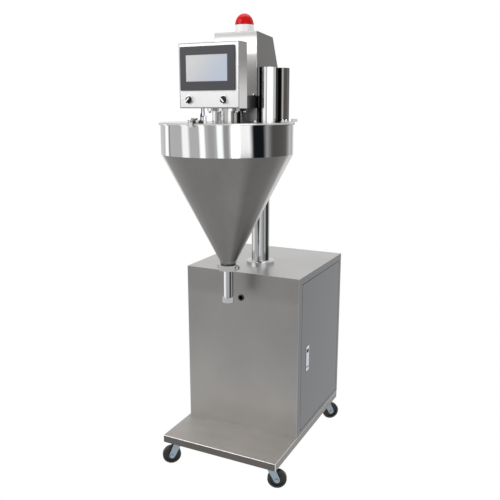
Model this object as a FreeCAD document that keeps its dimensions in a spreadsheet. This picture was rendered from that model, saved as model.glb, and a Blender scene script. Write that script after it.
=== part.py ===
import FreeCAD, Part
import math
import os
import Sketcher

# Auger powder filler: a castered cabinet whose column carries a drive head.  Under
# the head hang a lid, a conical hopper and the filling nozzle with its auger.
# Millimetres, +Z up, the front towards -Y.  The origin is on the floor, under the
# middle of the machine's overall box.

SIZES = [
    # name, value, what it is
    ("sheet", 2, "wall of the tray, cabinet, covers and hopper"),
    ("bend_radius", 3, "outer radius of the folded edges"),
    ("seat_gap", 0.3, "clearance between curved faces of different bodies"),
    ("running_gap", 0.05, "radial clearance of a shaft in its bush"),
    # tray and frame
    ("tray_width", 500, "tray and cabinet, side to side"),
    ("tray_depth", 712, "tray, front to back"),
    ("tray_front", 279, "front edge of the tray, ahead of the origin"),
    ("tray_height", 30, "height of the tray's folded skirt"),
    ("caster_height", 100, "floor to the underside of the tray"),
    ("end_rail", 60, "width of the cross rails over the casters"),
    ("side_rail", 30, "width of the side rails and the middle rail"),
    # casters
    ("caster_inset", 45, "swivel axis from the tray's edges"),
    ("caster_trail", 30, "axle behind the swivel axis"),
    ("wheel_radius", 37.5, "caster wheel"),
    ("wheel_width", 25, "tread of the wheel"),
    ("hub_width", 28, "wheel hub, along the axle"),
    ("hub_radius", 11, "wheel hub"),
    ("axle_radius", 4, "caster axle"),
    ("plate_side", 64, "square top plate of a caster"),
    ("plate_thick", 3, "top plate of a caster"),
    ("raceway_radius", 23, "fixed ball race under the top plate"),
    ("raceway_height", 5, "fixed ball race"),
    ("fork_sheet", 3, "pressed sheet of the fork"),
    ("fork_radius", 24, "crown of the fork"),
    ("fork_leg", 11, "half width of the leg round the axle"),
    ("kingpin_radius", 5, "swivel pin"),
    ("kingpin_head", 9, "head of the swivel pin"),
    ("kingpin_head_thick", 3, "head of the swivel pin"),
    ("bolt_radius", 3, "M6 fasteners"),
    ("bolt_head_radius", 5.7, "corner radius of an M6 hexagon"),
    ("bolt_head_height", 4, "M6 hexagon head"),
    ("bolt_inset", 9, "caster bolts from the edges of the plate"),
    # cabinet
    ("cabinet_depth", 500, "cabinet, front to back"),
    ("cabinet_height", 664, "tray to the top of the cabinet"),
    ("top_sheet", 3, "cabinet top"),
    ("doubler_side", 180, "stiffening plate under the column"),
    ("doubler_thick", 8, "stiffening plate under the column"),
    ("rear_lip", 20, "folded lip that the rear panel is screwed to"),
    ("front_stile", 32.5, "right side, ahead of the door"),
    ("rear_stile", 21.5, "right side, behind the door"),
    ("top_stile", 27.5, "right side, above the door"),
    ("bottom_stile", 15.5, "right side, below the door"),
    ("door_gap", 2.5, "gap round the door"),
    ("door_depth", 20, "folded edge of the door"),
    ("door_pin_inset", 8, "hinge axis from the door's rear edge"),
    ("door_pin_depth", 5.5, "hinge axis from the door's outer face"),
    ("door_pin_radius", 2.5, "hinge pivot pin"),
    ("pin_length", 9, "hinge pivot pin"),
    ("return_depth", 22, "folded return round the doorway"),
    ("gland_drop", 104, "front gland below the cabinet top"),
    ("gland_bore", 8.5, "bore of the cable glands"),
    ("gland_thread", 10.5, "gland body through the sheet"),
    ("gland_flange", 13, "gland's outer collar"),
    ("gland_collar", 3, "thickness of the gland's collar and nut"),
    ("inlet_height", 70, "rear gland above the tray"),
    ("inlet_side", 160, "rear gland, left of the middle"),
    # flush door handle
    ("handle_height", 440, "middle of the door handle above the floor"),
    ("handle_inset", 65, "middle of the door handle from the door's front edge"),
    ("handle_length", 106, "handle plate, upright"),
    ("handle_width", 30, "handle plate, across"),
    ("handle_rim", 1.5, "handle plate, proud of the door"),
    ("dish_depth", 12, "finger recess behind the paddle"),
    ("paddle_length", 78, "paddle lever, upright"),
    ("paddle_width", 20, "paddle lever, across"),
    ("paddle_thick", 5, "paddle lever"),
    ("finger_gap", 14, "finger space in the recess, above the paddle"),
    ("paddle_pin", 1.5, "paddle's hinge pin"),
    # electrical plate inside the cabinet
    ("panel_width", 320, "mounting plate in the cabinet"),
    ("panel_height", 420, "mounting plate in the cabinet"),
    ("panel_rise", 90, "mounting plate above the tray"),
    ("panel_standoff", 25, "mounting plate from the left wall"),
    # column
    ("column_setback", 180, "column axis behind the cabinet's front"),
    ("column_radius", 37, "column tube"),
    ("column_wall", 4, "column tube"),
    ("collar_radius", 58, "collar at the foot of the column"),
    ("collar_height", 17, "collar at the foot of the column"),
    ("collar_hub", 44, "raised hub of the collar"),
    # head
    ("auger_overhang", 106, "auger axis ahead of the cabinet's front"),
    ("head_width", 174, "head housing, side to side"),
    ("head_floor", 1384, "underside of the head"),
    ("floor_thick", 18, "cast foot of the head"),
    ("socket_depth", 15, "column's seat in the foot"),
    ("drive_level", 1431, "underside of the drive plate"),
    ("drive_thick", 10, "drive plate"),
    ("shelf_level", 1476, "underside of the motor shelf"),
    ("shelf_thick", 8, "motor shelf and side cheeks"),
    ("head_front", 106, "front of the housing ahead of the origin"),
    ("head_top", 1700, "front edge of the housing's top"),
    ("head_top_rear", 1690.5, "rear edge of the housing's top"),
    ("head_top_depth", 135.5, "housing's top, front to back"),
    ("head_foot_depth", 275, "housing's foot, front to back"),
    ("case_front", 248.2, "front of the transmission case ahead of the origin"),
    ("case_top", 1475, "top of the transmission case"),
    # drive
    ("motor_offset", 41, "motor axes, left and right of the middle"),
    ("motor_setback", 120, "motor axes behind the auger axis"),
    ("servo_side", 60, "servo motor frame"),
    ("servo_height", 128, "servo motor body"),
    ("gear_side", 70, "gearbox of the stirrer motor"),
    ("gear_height", 42, "gearbox of the stirrer motor"),
    ("stirrer_radius", 34, "stirrer motor body"),
    ("stirrer_height", 96, "stirrer motor body"),
    ("drive_shaft", 7, "motor shafts"),
    ("small_pulley", 18, "belt face of the motor pulleys"),
    ("large_pulley", 30, "belt face of the auger and stirrer pulleys"),
    ("pulley_flange", 3, "flange above the belt face"),
    ("belt_width", 9, "drive belts"),
    ("belt_thick", 2.5, "drive belts"),
    ("flange_thick", 1.5, "flanges of the pulleys"),
    ("upper_belt", 1460, "underside of the auger belt"),
    ("lower_belt", 1445, "underside of the stirrer belt"),
    ("quill_radius", 15, "hollow stirrer shaft"),
    ("shaft_radius", 10, "auger shaft inside the hollow shaft"),
    # spindle sleeve
    ("sleeve_radius", 54, "polished sleeve between lid and head"),
    ("sleeve_wall", 5, "polished sleeve"),
    ("sleeve_web", 9, "ends of the sleeve that hold the bushes"),
    ("flange_radius", 71.5, "bolting flange of the sleeve"),
    ("sleeve_flange", 10.3, "thickness of the bolting flange"),
    # lid
    ("lid_level", 1378.4, "underside of the lid"),
    ("lid_thick", 3, "lid"),
    ("lid_radius", 246, "lid"),
    ("gasket_thick", 2, "ring between lid and hopper"),
    ("inlet_radius", 35, "inlet and vent tubes"),
    ("inlet_wall", 1.5, "inlet and vent tubes"),
    ("inlet_length", 192, "inlet and vent tubes above the lid"),
    ("inlet_x", 122, "powder inlet, right of the middle"),
    ("inlet_y", 76, "powder inlet, behind the auger axis"),
    ("vent_x", 144.5, "vent tube, right of the middle"),
    ("vent_y", 142.5, "vent tube, behind the auger axis"),
    # hopper
    ("rim_radius", 247.5, "rolled rim of the hopper"),
    ("rim_thick", 3, "rolled rim of the hopper"),
    ("band_radius", 241, "polished band of the hopper"),
    ("band_bottom", 1270, "where the band meets the cone"),
    ("cone_bottom", 868, "where the cone meets the spigot"),
    ("spigot_radius", 33, "spigot under the cone"),
    ("spigot_bore", 24, "bore of the spigot"),
    ("joint_level", 841, "face where hopper and nozzle meet"),
    ("ferrule_radius", 32, "clamped ferrules of spigot and nozzle"),
    ("ferrule_thick", 6.5, "each ferrule"),
    ("neck_radius", 27, "neck between ferrule and spigot"),
    ("clamp_radius", 37, "two-piece clamp"),
    ("clamp_height", 21, "two-piece clamp"),
    ("clamp_reach", 44, "clamp's bolting lugs from the axis"),
    ("lug_width", 14, "bolting lugs of the clamp"),
    ("split_gap", 3, "gap between the halves of the clamp"),
    # nozzle
    ("nozzle_radius", 19, "nozzle tube"),
    ("nozzle_bore", 17.5, "bore of the nozzle"),
    ("nozzle_bottom", 704, "mouth of the nozzle tube"),
    ("cap_radius", 24, "end nut of the nozzle"),
    ("cap_top", 724, "end nut of the nozzle"),
    ("cap_bottom", 701.5, "end nut of the nozzle"),
    ("cap_bore", 15.5, "mouth of the end nut"),
    ("cap_flute", 1.6, "grip flutes of the end nut"),
    ("flute_count", 18, "grip flutes of the end nut"),
    # auger and agitator
    ("flight_radius", 17, "auger flight"),
    ("flight_thick", 3, "auger flight"),
    ("flight_pitch", 30, "auger flight"),
    ("flight_height", 210, "auger flight, end to end"),
    ("flight_bottom", 706, "lower end of the auger flight"),
    ("core_radius", 6, "core of the auger"),
    ("quill_bottom", 1330, "lower end of the hollow stirrer shaft"),
    ("arm_top", 1361, "top of the agitator frame"),
    ("arm_height", 12, "cross arm of the agitator"),
    ("arm_width", 13, "scraper bars of the agitator"),
    ("arm_thick", 6, "flat bar of the agitator"),
    ("scrape_gap", 12, "agitator from the hopper wall"),
    ("ring_level", 926, "underside of the agitator's foot ring"),
    ("ring_height", 14, "foot ring of the agitator"),
    ("ring_radius", 30, "foot ring of the agitator"),
    ("ring_bore", 22, "foot ring of the agitator"),
    # latches
    ("latch_pivot", 250.5, "latch pivot from the auger axis"),
    ("latch_rise", 6.6, "latch pivot above the lid"),
    ("latch_width", 11.4, "latch lever"),
    ("ear_thick", 4, "ears of the latch base"),
    ("latch_disc", 5, "boss of the latch lever"),
    ("latch_pin", 2, "latch pivot pin"),
    ("latch_reach", 266, "tip of the latch lever from the auger axis"),
    ("base_inner", 194, "inner end of the latch base"),
    ("base_thick", 3, "foot of the latch base"),
    # operator panel
    ("panel_box_width", 235, "operator panel box"),
    ("panel_box_depth", 56.2, "operator panel box"),
    ("panel_box_level", 1430.5, "underside of the operator panel box"),
    ("panel_box_height", 217, "operator panel box"),
    ("bezel_width", 211, "bezel of the touch screen"),
    ("bezel_height", 145, "bezel of the touch screen"),
    ("bezel_shift", -3.5, "bezel, right of the box's middle"),
    ("bezel_rise", 59.5, "bezel above the underside of the box"),
    ("bezel_proud", 6, "bezel in front of the box"),
    ("bezel_margin", 8, "bezel beyond the cut-out in the box"),
    ("screen_width", 161, "touch screen"),
    ("screen_height", 87, "touch screen"),
    ("screen_left", 23, "screen from the bezel's left edge"),
    ("screen_foot", 30, "screen from the bezel's bottom edge"),
    ("screen_sunk", 1, "screen below the bezel's face"),
    ("knob_rise", 28.5, "selector knobs above the underside of the box"),
    ("left_knob", -78, "left selector knob"),
    ("right_knob", 58, "right selector knob"),
    ("knob_radius", 11.5, "selector knob"),
    ("knob_depth", 7, "selector knob's disc"),
    ("grip_width", 6, "raised grip of the knob"),
    ("grip_depth", 9, "raised grip of the knob"),
    ("knob_collar", 14.5, "ring round the selector knob"),
    ("collar_proud", 3, "ring round the selector knob"),
    ("stem_radius", 5, "selector stem"),
    # beacon
    ("beacon_setback", 73, "beacon behind the housing's front"),
    ("beacon_radius", 35, "beacon"),
    ("beacon_base_height", 39.5, "white base of the beacon, above the housing"),
    ("dome_height", 42, "red dome of the beacon"),
    ("dome_wall", 2.5, "beacon dome"),
    ("reflector_radius", 20, "turning reflector of the beacon"),
    # lid fittings
    ("sensor_x", -22, "level sensor, right of the middle"),
    ("sensor_y", 127, "level sensor, ahead of the auger axis"),
    ("sensor_radius", 8, "level sensor"),
    ("sensor_height", 24, "level sensor above the lid"),
    ("switch_x", 25, "interlock switch, right of the middle"),
    ("switch_y", 229, "interlock switch, ahead of the auger axis"),
    ("cable_radius", 2, "cables of the lid fittings"),
]

doc = FreeCAD.newDocument("AugerPowderFiller")
sheet = doc.addObject("Spreadsheet::Sheet", "Sizes")
for row, (name, value, meaning) in enumerate(SIZES, start=1):
    sheet.set(f"A{row}", name)
    sheet.set(f"B{row}", str(value))
    sheet.set(f"C{row}", meaning)
    sheet.setAlias(f"B{row}", name)
doc.recompute()

NODES = []


class Size:
    """A length that knows its value and the expression that ties it to the sheet."""

    def __init__(self, value, text):
        self.value = value
        self.text = text

    def __add__(self, other):
        other = as_size(other)
        return Size(self.value + other.value, f"({self.text} + {other.text})")

    def __sub__(self, other):
        other = as_size(other)
        return Size(self.value - other.value, f"({self.text} - {other.text})")

    def __mul__(self, other):
        other = as_size(other)
        return Size(self.value * other.value, f"({self.text} * {other.text})")

    def __truediv__(self, other):
        other = as_size(other)
        return Size(self.value / other.value, f"({self.text} / {other.text})")

    def __radd__(self, other):
        return as_size(other) + self

    def __rsub__(self, other):
        return as_size(other) - self

    def __rmul__(self, other):
        return as_size(other) * self

    def __neg__(self):
        return Size(-self.value, f"(0 - {self.text})")


def as_size(item):
    """Take a Size as it is, and a plain number as a constant."""
    if isinstance(item, Size):
        return item
    return Size(float(item), f"({float(item)!r})")


class Sizes:
    """The sheet's rows as attributes."""

    def __getattr__(self, name):
        return Size(float(sheet.get(name)), f"Sizes.{name}")


S = Sizes()


def bind(obj, prop, size):
    """Tie one property to its expression."""
    size = as_size(size)
    obj.setExpression(prop, size.text)


def vector(point):
    return FreeCAD.Vector(*[as_size(number).value for number in point])


def place(obj, point, axis=(0, 0, 1), degrees=0):
    """Put an object at a bound point, turned by a fixed angle."""
    turn = FreeCAD.Rotation(FreeCAD.Vector(*axis), degrees)
    obj.Placement = FreeCAD.Placement(vector(point), turn)
    for letter, number in zip("xyz", point):
        bind(obj, f"Placement.Base.{letter}", number)
    return obj


def node(obj, label):
    """Keep an object as a sub-part of the machine."""
    obj.Label = label
    NODES.append(obj)
    return obj


# ---- Part primitives and booleans ----------------------------------------------

def block(low, high):
    """A box between two corners."""
    box = doc.addObject("Part::Box", "Block")
    for prop, start, end in zip(("Length", "Width", "Height"), low, high):
        bind(box, prop, as_size(end) - start)
    return place(box, low)


AXIS_TURNS = {"X": ((0, 1, 0), 90), "Y": ((1, 0, 0), -90), "Z": ((0, 0, 1), 0)}


def rod(radius, base, length, axis="Z"):
    """A cylinder that starts at base and runs along +X, +Y or +Z."""
    cylinder = doc.addObject("Part::Cylinder", "Rod")
    bind(cylinder, "Radius", radius)
    bind(cylinder, "Height", length)
    return place(cylinder, base, *AXIS_TURNS[axis])


def taper(low_radius, high_radius, base, length, axis="Z"):
    cone = doc.addObject("Part::Cone", "Taper")
    bind(cone, "Radius1", low_radius)
    bind(cone, "Radius2", high_radius)
    bind(cone, "Height", length)
    return place(cone, base, *AXIS_TURNS[axis])


def hexagon(radius, base, length, axis="Z"):
    prism = doc.addObject("Part::Prism", "Hexagon")
    prism.Polygon = 6
    bind(prism, "Circumradius", radius)
    bind(prism, "Height", length)
    return place(prism, base, *AXIS_TURNS[axis])


def fuse(*parts):
    union = doc.addObject("Part::MultiFuse", "Union")
    union.Shapes = list(parts)
    union.Refine = True
    return union


def cut(base, *tools):
    result = doc.addObject("Part::Cut", "Cut")
    result.Base = base
    result.Tool = tools[0] if len(tools) == 1 else fuse(*tools)
    result.Refine = True
    return result


def group(*parts):
    """Separate solids that share a node."""
    compound = doc.addObject("Part::Compound", "Group")
    compound.Links = list(parts)
    return compound


# ---- PartDesign bodies ------------------------------------------------------------

def new_body(point=(0, 0, 0), axis=(0, 0, 1), degrees=0):
    body = doc.addObject("PartDesign::Body", "Body")
    return place(body, point, axis, degrees)


def sketch_on(body, plane, offset=0):
    """A sketch on one of the body's own planes, moved along that plane's normal."""
    sketch = body.newObject("Sketcher::SketchObject", "Sketch")
    planes = {feature.Role: feature for feature in body.Origin.OriginFeatures}
    sketch.AttachmentSupport = [(planes[plane], "")]
    sketch.MapMode = "FlatFace"
    shift = FreeCAD.Vector(0, 0, as_size(offset).value)
    sketch.AttachmentOffset = FreeCAD.Placement(shift, FreeCAD.Rotation())
    bind(sketch, "AttachmentOffset.Base.z", offset)
    return sketch


def fix_point(sketch, geometry, position, point):
    """Hold one sketch point by its two coordinates."""
    kinds = (("DistanceX", -2), ("DistanceY", -1))
    for (kind, axis), number in zip(kinds, point):
        number = as_size(number)
        if number.text == "(0.0)":
            sketch.addConstraint(
                Sketcher.Constraint("PointOnObject", geometry, position, axis))
            continue
        index = sketch.addConstraint(
            Sketcher.Constraint(kind, -1, 1, geometry, position, number.value))
        bind(sketch, f"Constraints[{index}]", number)


def polygon(sketch, points):
    """A closed outline with straight sides."""
    first = sketch.GeometryCount
    count = len(points)
    for index in range(count):
        start = vector(points[index])
        end = vector(points[(index + 1) % count])
        sketch.addGeometry(Part.LineSegment(start, end), False)
    for index in range(count):
        sketch.addConstraint(Sketcher.Constraint(
            "Coincident", first + index, 2, first + (index + 1) % count, 1))
    for index, point in enumerate(points):
        fix_point(sketch, first + index, 1, point[:2])


def flat(points):
    """Sketch points have a third coordinate of nought."""
    return [(across, up, 0) for across, up in points]


def rectangle(sketch, low, high):
    (left, bottom), (right, top) = low, high
    polygon(sketch, flat([(left, bottom), (right, bottom), (right, top), (left, top)]))


def circle(sketch, centre, radius):
    radius = as_size(radius)
    middle = vector((centre[0], centre[1], 0))
    ring = Part.Circle(middle, FreeCAD.Vector(0, 0, 1), radius.value)
    geometry = sketch.addGeometry(ring, False)
    index = sketch.addConstraint(Sketcher.Constraint("Radius", geometry, radius.value))
    bind(sketch, f"Constraints[{index}]", radius)
    fix_point(sketch, geometry, 3, centre)


def extrude(kind, body, sketch, length, back, both):
    feature = body.newObject(f"PartDesign::{kind}", kind)
    feature.Profile = sketch
    bind(feature, "Length", length)
    feature.Midplane = both
    feature.Reversed = back
    return feature


def pad(body, sketch, length, back=False, both=False):
    """Add material along the sketch's normal, against it, or both ways."""
    return extrude("Pad", body, sketch, length, back, both)


def pocket(body, sketch, length, back=False, both=False):
    """Cut against the sketch's normal, along it, or both ways."""
    return extrude("Pocket", body, sketch, length, back, both)


def turned(points, base=(0, 0, 0)):
    """A solid of revolution round an upright axis; points are radius and height."""
    body = new_body(base)
    sketch = sketch_on(body, "XZ_Plane")
    polygon(sketch, flat(points))
    feature = body.newObject("PartDesign::Revolution", "Revolution")
    feature.Profile = sketch
    feature.ReferenceAxis = (sketch, ["V_Axis"])
    feature.Angle = 360
    return body


def fillet(body, radius, wanted):
    """Round the edges of the newest feature that the test picks."""
    doc.recompute()
    base = body.Tip
    names = [f"Edge{number}" for number, edge in enumerate(base.Shape.Edges, start=1)
             if wanted(edge)]
    feature = body.newObject("PartDesign::Fillet", "Fillet")
    feature.Base = (base, names)
    bind(feature, "Radius", radius)
    return feature


def runs_along(edge, axis):
    """Whether a straight edge lies along X, Y or Z."""
    span = edge.BoundBox
    sides = {"X": span.XLength, "Y": span.YLength, "Z": span.ZLength}
    rest = [length for name, length in sides.items() if name != axis]
    return sides[axis] > 1 and max(rest) < 0.001


def polar_pattern(body, feature, count):
    """Repeat a feature round the body's upright axis."""
    pattern = body.newObject("PartDesign::PolarPattern", "PolarPattern")
    pattern.Originals = [feature]
    axes = {item.Role: item for item in body.Origin.OriginFeatures}
    pattern.Axis = (axes["Z_Axis"], [""])
    pattern.Angle = 360
    bind(pattern, "Occurrences", count)
    body.Tip = pattern
    return pattern


# ---- Places that several sub-parts share ----------------------------------------

tray_left = -S.tray_width / 2
tray_right = S.tray_width / 2
tray_front = -S.tray_front
tray_back = tray_front + S.tray_depth
tray_top = S.caster_height + S.tray_height
rail_top = tray_top - S.sheet
cabinet_back = tray_back
cabinet_front = cabinet_back - S.cabinet_depth
cabinet_top = tray_top + S.cabinet_height
body_top = cabinet_top - S.top_sheet
door_front = cabinet_front + S.front_stile
door_back = cabinet_back - S.rear_stile
door_low = tray_top + S.bottom_stile
door_high = cabinet_top - S.top_stile
auger_y = cabinet_front - S.auger_overhang
column_y = cabinet_front + S.column_setback
lid_top = S.lid_level + S.lid_thick
rim_top = S.lid_level - S.gasket_thick
drive_top = S.drive_level + S.drive_thick
housing_front = -S.head_front
case_front = -S.case_front
beacon_seam = S.head_top_rear + S.beacon_base_height
beacon_top = beacon_seam + S.dome_height
panel_back = case_front
panel_front = panel_back - S.panel_box_depth
panel_top = S.panel_box_level + S.panel_box_height
motor_y = auger_y + S.motor_setback


# ---- Tray, frame and casters -----------------------------------------------------

def make_base_tray():
    """Folded sheet pan, open below."""
    body = new_body()
    outline = sketch_on(body, "XY_Plane", S.caster_height)
    rectangle(outline, (tray_left, tray_front), (tray_right, tray_back))
    pad(body, outline, S.tray_height)
    fillet(body, S.bend_radius, lambda edge: runs_along(edge, "Z"))
    top = tray_top.value
    fillet(body, S.bend_radius, lambda edge: abs(edge.BoundBox.ZMin - top) < 0.001)
    inside = sketch_on(body, "XY_Plane", S.caster_height)
    rectangle(inside, (tray_left + S.sheet, tray_front + S.sheet),
              (tray_right - S.sheet, tray_back - S.sheet))
    pocket(body, inside, S.tray_height - S.sheet, back=True)
    node(body, "base_tray")


def make_base_frame():
    """Welded ladder of flat tubes inside the tray, over the casters."""
    left = tray_left + S.sheet
    right = tray_right - S.sheet
    front = tray_front + S.sheet
    back = tray_back - S.sheet
    low = S.caster_height
    inner_left = left + S.side_rail
    inner_right = right - S.side_rail
    middle = cabinet_front + S.side_rail
    whole = block((left, front, low), (right, back, rail_top))
    front_bay = block((inner_left, front + S.end_rail, low),
                      (inner_right, cabinet_front, rail_top))
    rear_bay = block((inner_left, middle, low), (inner_right, back - S.end_rail, rail_top))
    node(cut(whole, front_bay, rear_bay), "base_frame")


CASTERS = {
    # name: side, end, direction in which the wheel trails
    "front_left": (-1, -1, 218),
    "front_right": (1, -1, 22),
    "rear_left": (-1, 1, 180),
    "rear_right": (1, 1, 38),
}


def caster_point(side, end):
    """Where a caster's swivel axis meets the floor."""
    across = tray_left + S.caster_inset if side < 0 else tray_right - S.caster_inset
    along = tray_front + S.caster_inset if end < 0 else tray_back - S.caster_inset
    return across, along


def make_caster_plates():
    """Top plates with their ball races, swivel pins and bolts."""
    pieces = []
    half = S.plate_side / 2
    plate_low = S.caster_height - S.plate_thick
    race_low = plate_low - S.raceway_height
    pin_low = race_low - S.seat_gap - S.fork_sheet - S.seat_gap - S.kingpin_head_thick
    for side, end, _ in CASTERS.values():
        across, along = caster_point(side, end)
        plate = block((across - half, along - half, plate_low),
                      (across + half, along + half, S.caster_height))
        race = rod(S.raceway_radius, (across, along, race_low), S.raceway_height)
        pin = rod(S.kingpin_radius, (across, along, pin_low), plate_low - pin_low)
        head = rod(S.kingpin_head, (across, along, pin_low), S.kingpin_head_thick)
        pieces.append(fuse(plate, race, pin, head))
        reach = half - S.bolt_inset
        for step_x, step_y in ((-1, -1), (1, -1), (1, 1), (-1, 1)):
            low = (across + reach * step_x, along + reach * step_y,
                   plate_low - S.bolt_head_height)
            pieces.append(hexagon(S.bolt_head_radius, low, S.bolt_head_height))
    node(group(*pieces), "caster_plates")


def make_caster_fork(name, side, end, trail_direction):
    """Pressed fork with its axle bolt; it trails along its own +X."""
    across, along = caster_point(side, end)
    crown_top = S.caster_height - S.plate_thick - S.raceway_height - S.seat_gap
    crown_low = crown_top - S.fork_sheet
    inner = S.hub_width / 2 + S.seat_gap
    outer = inner + S.fork_sheet
    leg_low = S.wheel_radius - S.fork_leg
    body = new_body()
    side_view = sketch_on(body, "XZ_Plane")
    polygon(side_view, flat([
        (-S.fork_radius / 2, crown_top),
        (S.fork_radius * 0.85, crown_top),
        (S.caster_trail + S.fork_leg, S.wheel_radius + S.fork_leg * 0.6),
        (S.caster_trail + S.fork_leg, S.wheel_radius - S.fork_leg * 0.4),
        (S.caster_trail + S.fork_leg * 0.4, leg_low),
        (S.caster_trail - S.fork_leg * 0.4, leg_low),
        (S.caster_trail - S.fork_leg, S.wheel_radius - S.fork_leg * 0.4),
    ]))
    pad(body, side_view, outer * 2, both=True)
    slot = sketch_on(body, "XZ_Plane")
    rectangle(slot, (-S.fork_radius * 2, leg_low - 1),
              (S.caster_trail + S.fork_radius, crown_low))
    pocket(body, slot, inner * 2, both=True)
    crown = sketch_on(body, "XY_Plane", crown_low)
    circle(crown, (0, 0), S.fork_radius)
    pad(body, crown, S.fork_sheet)
    bore = sketch_on(body, "XY_Plane", crown_low)
    circle(bore, (0, 0), S.kingpin_radius + S.running_gap)
    pocket(body, bore, S.fork_sheet * 4, both=True)
    axle_bore = sketch_on(body, "XZ_Plane")
    circle(axle_bore, (S.caster_trail, S.wheel_radius), S.axle_radius)
    pocket(body, axle_bore, outer * 4, both=True)
    start = -outer - S.bolt_head_height
    axle = fuse(
        rod(S.axle_radius, (S.caster_trail, start, S.wheel_radius),
            (outer + S.bolt_head_height) * 2, "Y"),
        hexagon(S.axle_radius * 1.8, (S.caster_trail, start, S.wheel_radius),
                S.bolt_head_height, "Y"),
        hexagon(S.axle_radius * 1.8, (S.caster_trail, outer, S.wheel_radius),
                S.bolt_head_height, "Y"))
    whole = group(body, axle)
    place(whole, (across, along, 0), degrees=trail_direction)
    node(whole, f"caster_fork_{name}")


def make_caster_wheel(name, side, end, trail_direction):
    """Wheel with a narrow hub and a rounded tread, turned about its own axle."""
    across, along = caster_point(side, end)
    half = S.wheel_width / 2
    hub = S.hub_width / 2
    bore = S.axle_radius + S.running_gap
    web = S.wheel_radius * 0.72
    shoulder = S.wheel_radius * 0.95
    wheel = turned([
        (bore, -hub), (S.hub_radius, -hub), (S.hub_radius, -half * 0.55),
        (web, -half * 0.55), (web, -half * 0.9), (shoulder, -half * 0.9),
        (S.wheel_radius, -half * 0.6), (S.wheel_radius, half * 0.6),
        (shoulder, half * 0.9), (web, half * 0.9), (web, half * 0.55),
        (S.hub_radius, half * 0.55), (S.hub_radius, hub), (bore, hub)])
    place(wheel, (S.caster_trail, 0, S.wheel_radius), (1, 0, 0), 90)
    whole = group(wheel)
    place(whole, (across, along, 0), degrees=trail_direction)
    node(whole, f"caster_wheel_{name}")


# ---- Cabinet ------------------------------------------------------------------------

def make_cabinet_body():
    """Front, left and right walls folded from one sheet, with lips at the rear."""
    back = cabinet_back - S.sheet
    body = new_body()
    outline = sketch_on(body, "XY_Plane", tray_top)
    rectangle(outline, (tray_left, cabinet_front), (tray_right, back))
    pad(body, outline, body_top - tray_top)
    front = cabinet_front.value
    fillet(body, S.bend_radius, lambda edge: runs_along(edge, "Z")
           and abs(edge.BoundBox.YMin - front) < 0.001)
    inside = sketch_on(body, "XY_Plane", tray_top)
    rectangle(inside, (tray_left + S.sheet, cabinet_front + S.sheet),
              (tray_right - S.sheet, back - S.sheet))
    pocket(body, inside, S.cabinet_height * 2, both=True)
    rear = sketch_on(body, "XZ_Plane", -back)
    rectangle(rear, (tray_left + S.rear_lip, tray_top + S.rear_lip),
              (tray_right - S.rear_lip, body_top - S.rear_lip))
    pocket(body, rear, S.rear_lip, both=True)
    frame = sketch_on(body, "YZ_Plane", tray_right - S.return_depth)
    rectangle(frame, (door_front - S.sheet, door_low - S.sheet),
              (door_back + S.sheet, door_high + S.sheet))
    pad(body, frame, S.return_depth - S.sheet)
    doorway = sketch_on(body, "YZ_Plane", tray_right)
    rectangle(doorway, (door_front, door_low), (door_back, door_high))
    pocket(body, doorway, S.return_depth * 4, both=True)
    hole = sketch_on(body, "XZ_Plane", -cabinet_front)
    circle(hole, (0, cabinet_top - S.gland_drop), S.gland_thread)
    pocket(body, hole, S.sheet * 4, both=True)
    for level in (door_low - S.sheet, door_high):
        pivot = sketch_on(body, "XY_Plane", level)
        circle(pivot, (door_axis()), S.door_pin_radius)
        pocket(body, pivot, S.sheet * 4, both=True)
    node(body, "cabinet_body")


def door_axis():
    """Plan position of the door's upright hinge axis."""
    rear_edge = door_back - S.door_gap
    return tray_right - S.door_pin_depth, rear_edge - S.door_pin_inset


def make_cabinet_top():
    """Flat top with the welded stiffening plate that the column stands over."""
    plate = block((tray_left, cabinet_front, body_top), (tray_right, cabinet_back, cabinet_top))
    half = S.doubler_side / 2
    doubler = block((-half, column_y - half, body_top - S.doubler_thick),
                    (half, column_y + half, body_top))
    node(fuse(plate, doubler), "cabinet_top_plate")


def make_rear_panel():
    """Screwed-on rear sheet with the hole for the mains gland."""
    panel = block((tray_left, cabinet_back - S.sheet, tray_top),
                  (tray_right, cabinet_back, body_top))
    hole = rod(S.gland_thread, (-S.inlet_side, cabinet_back - S.sheet * 2,
                                tray_top + S.inlet_height), S.sheet * 4, "Y")
    node(cut(panel, hole), "cabinet_rear_panel")


def cable_gland(across, along, level, outward):
    """Gland through a wall: collar outside, body through, nut inside."""
    depth = S.sheet + S.gland_collar * 2
    if outward < 0:
        start = along - S.gland_collar
        collar_start = start
        nut_start = along + S.sheet
    else:
        start = along - S.sheet - S.gland_collar
        collar_start = along
        nut_start = start
    shell = fuse(
        rod(S.gland_thread, (across, start, level), depth, "Y"),
        rod(S.gland_flange, (across, collar_start, level), S.gland_collar, "Y"),
        hexagon(S.gland_flange, (across, nut_start, level), S.gland_collar, "Y"))
    return cut(shell, rod(S.gland_bore, (across, start - 1, level), depth + 2, "Y"))


def make_cable_glands():
    """Signal gland in the front wall and mains gland in the rear panel."""
    front = cable_gland(as_size(0), cabinet_front, cabinet_top - S.gland_drop, -1)
    rear = cable_gland(-S.inlet_side, cabinet_back, tray_top + S.inlet_height, 1)
    node(group(front, rear), "cable_glands")


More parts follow.
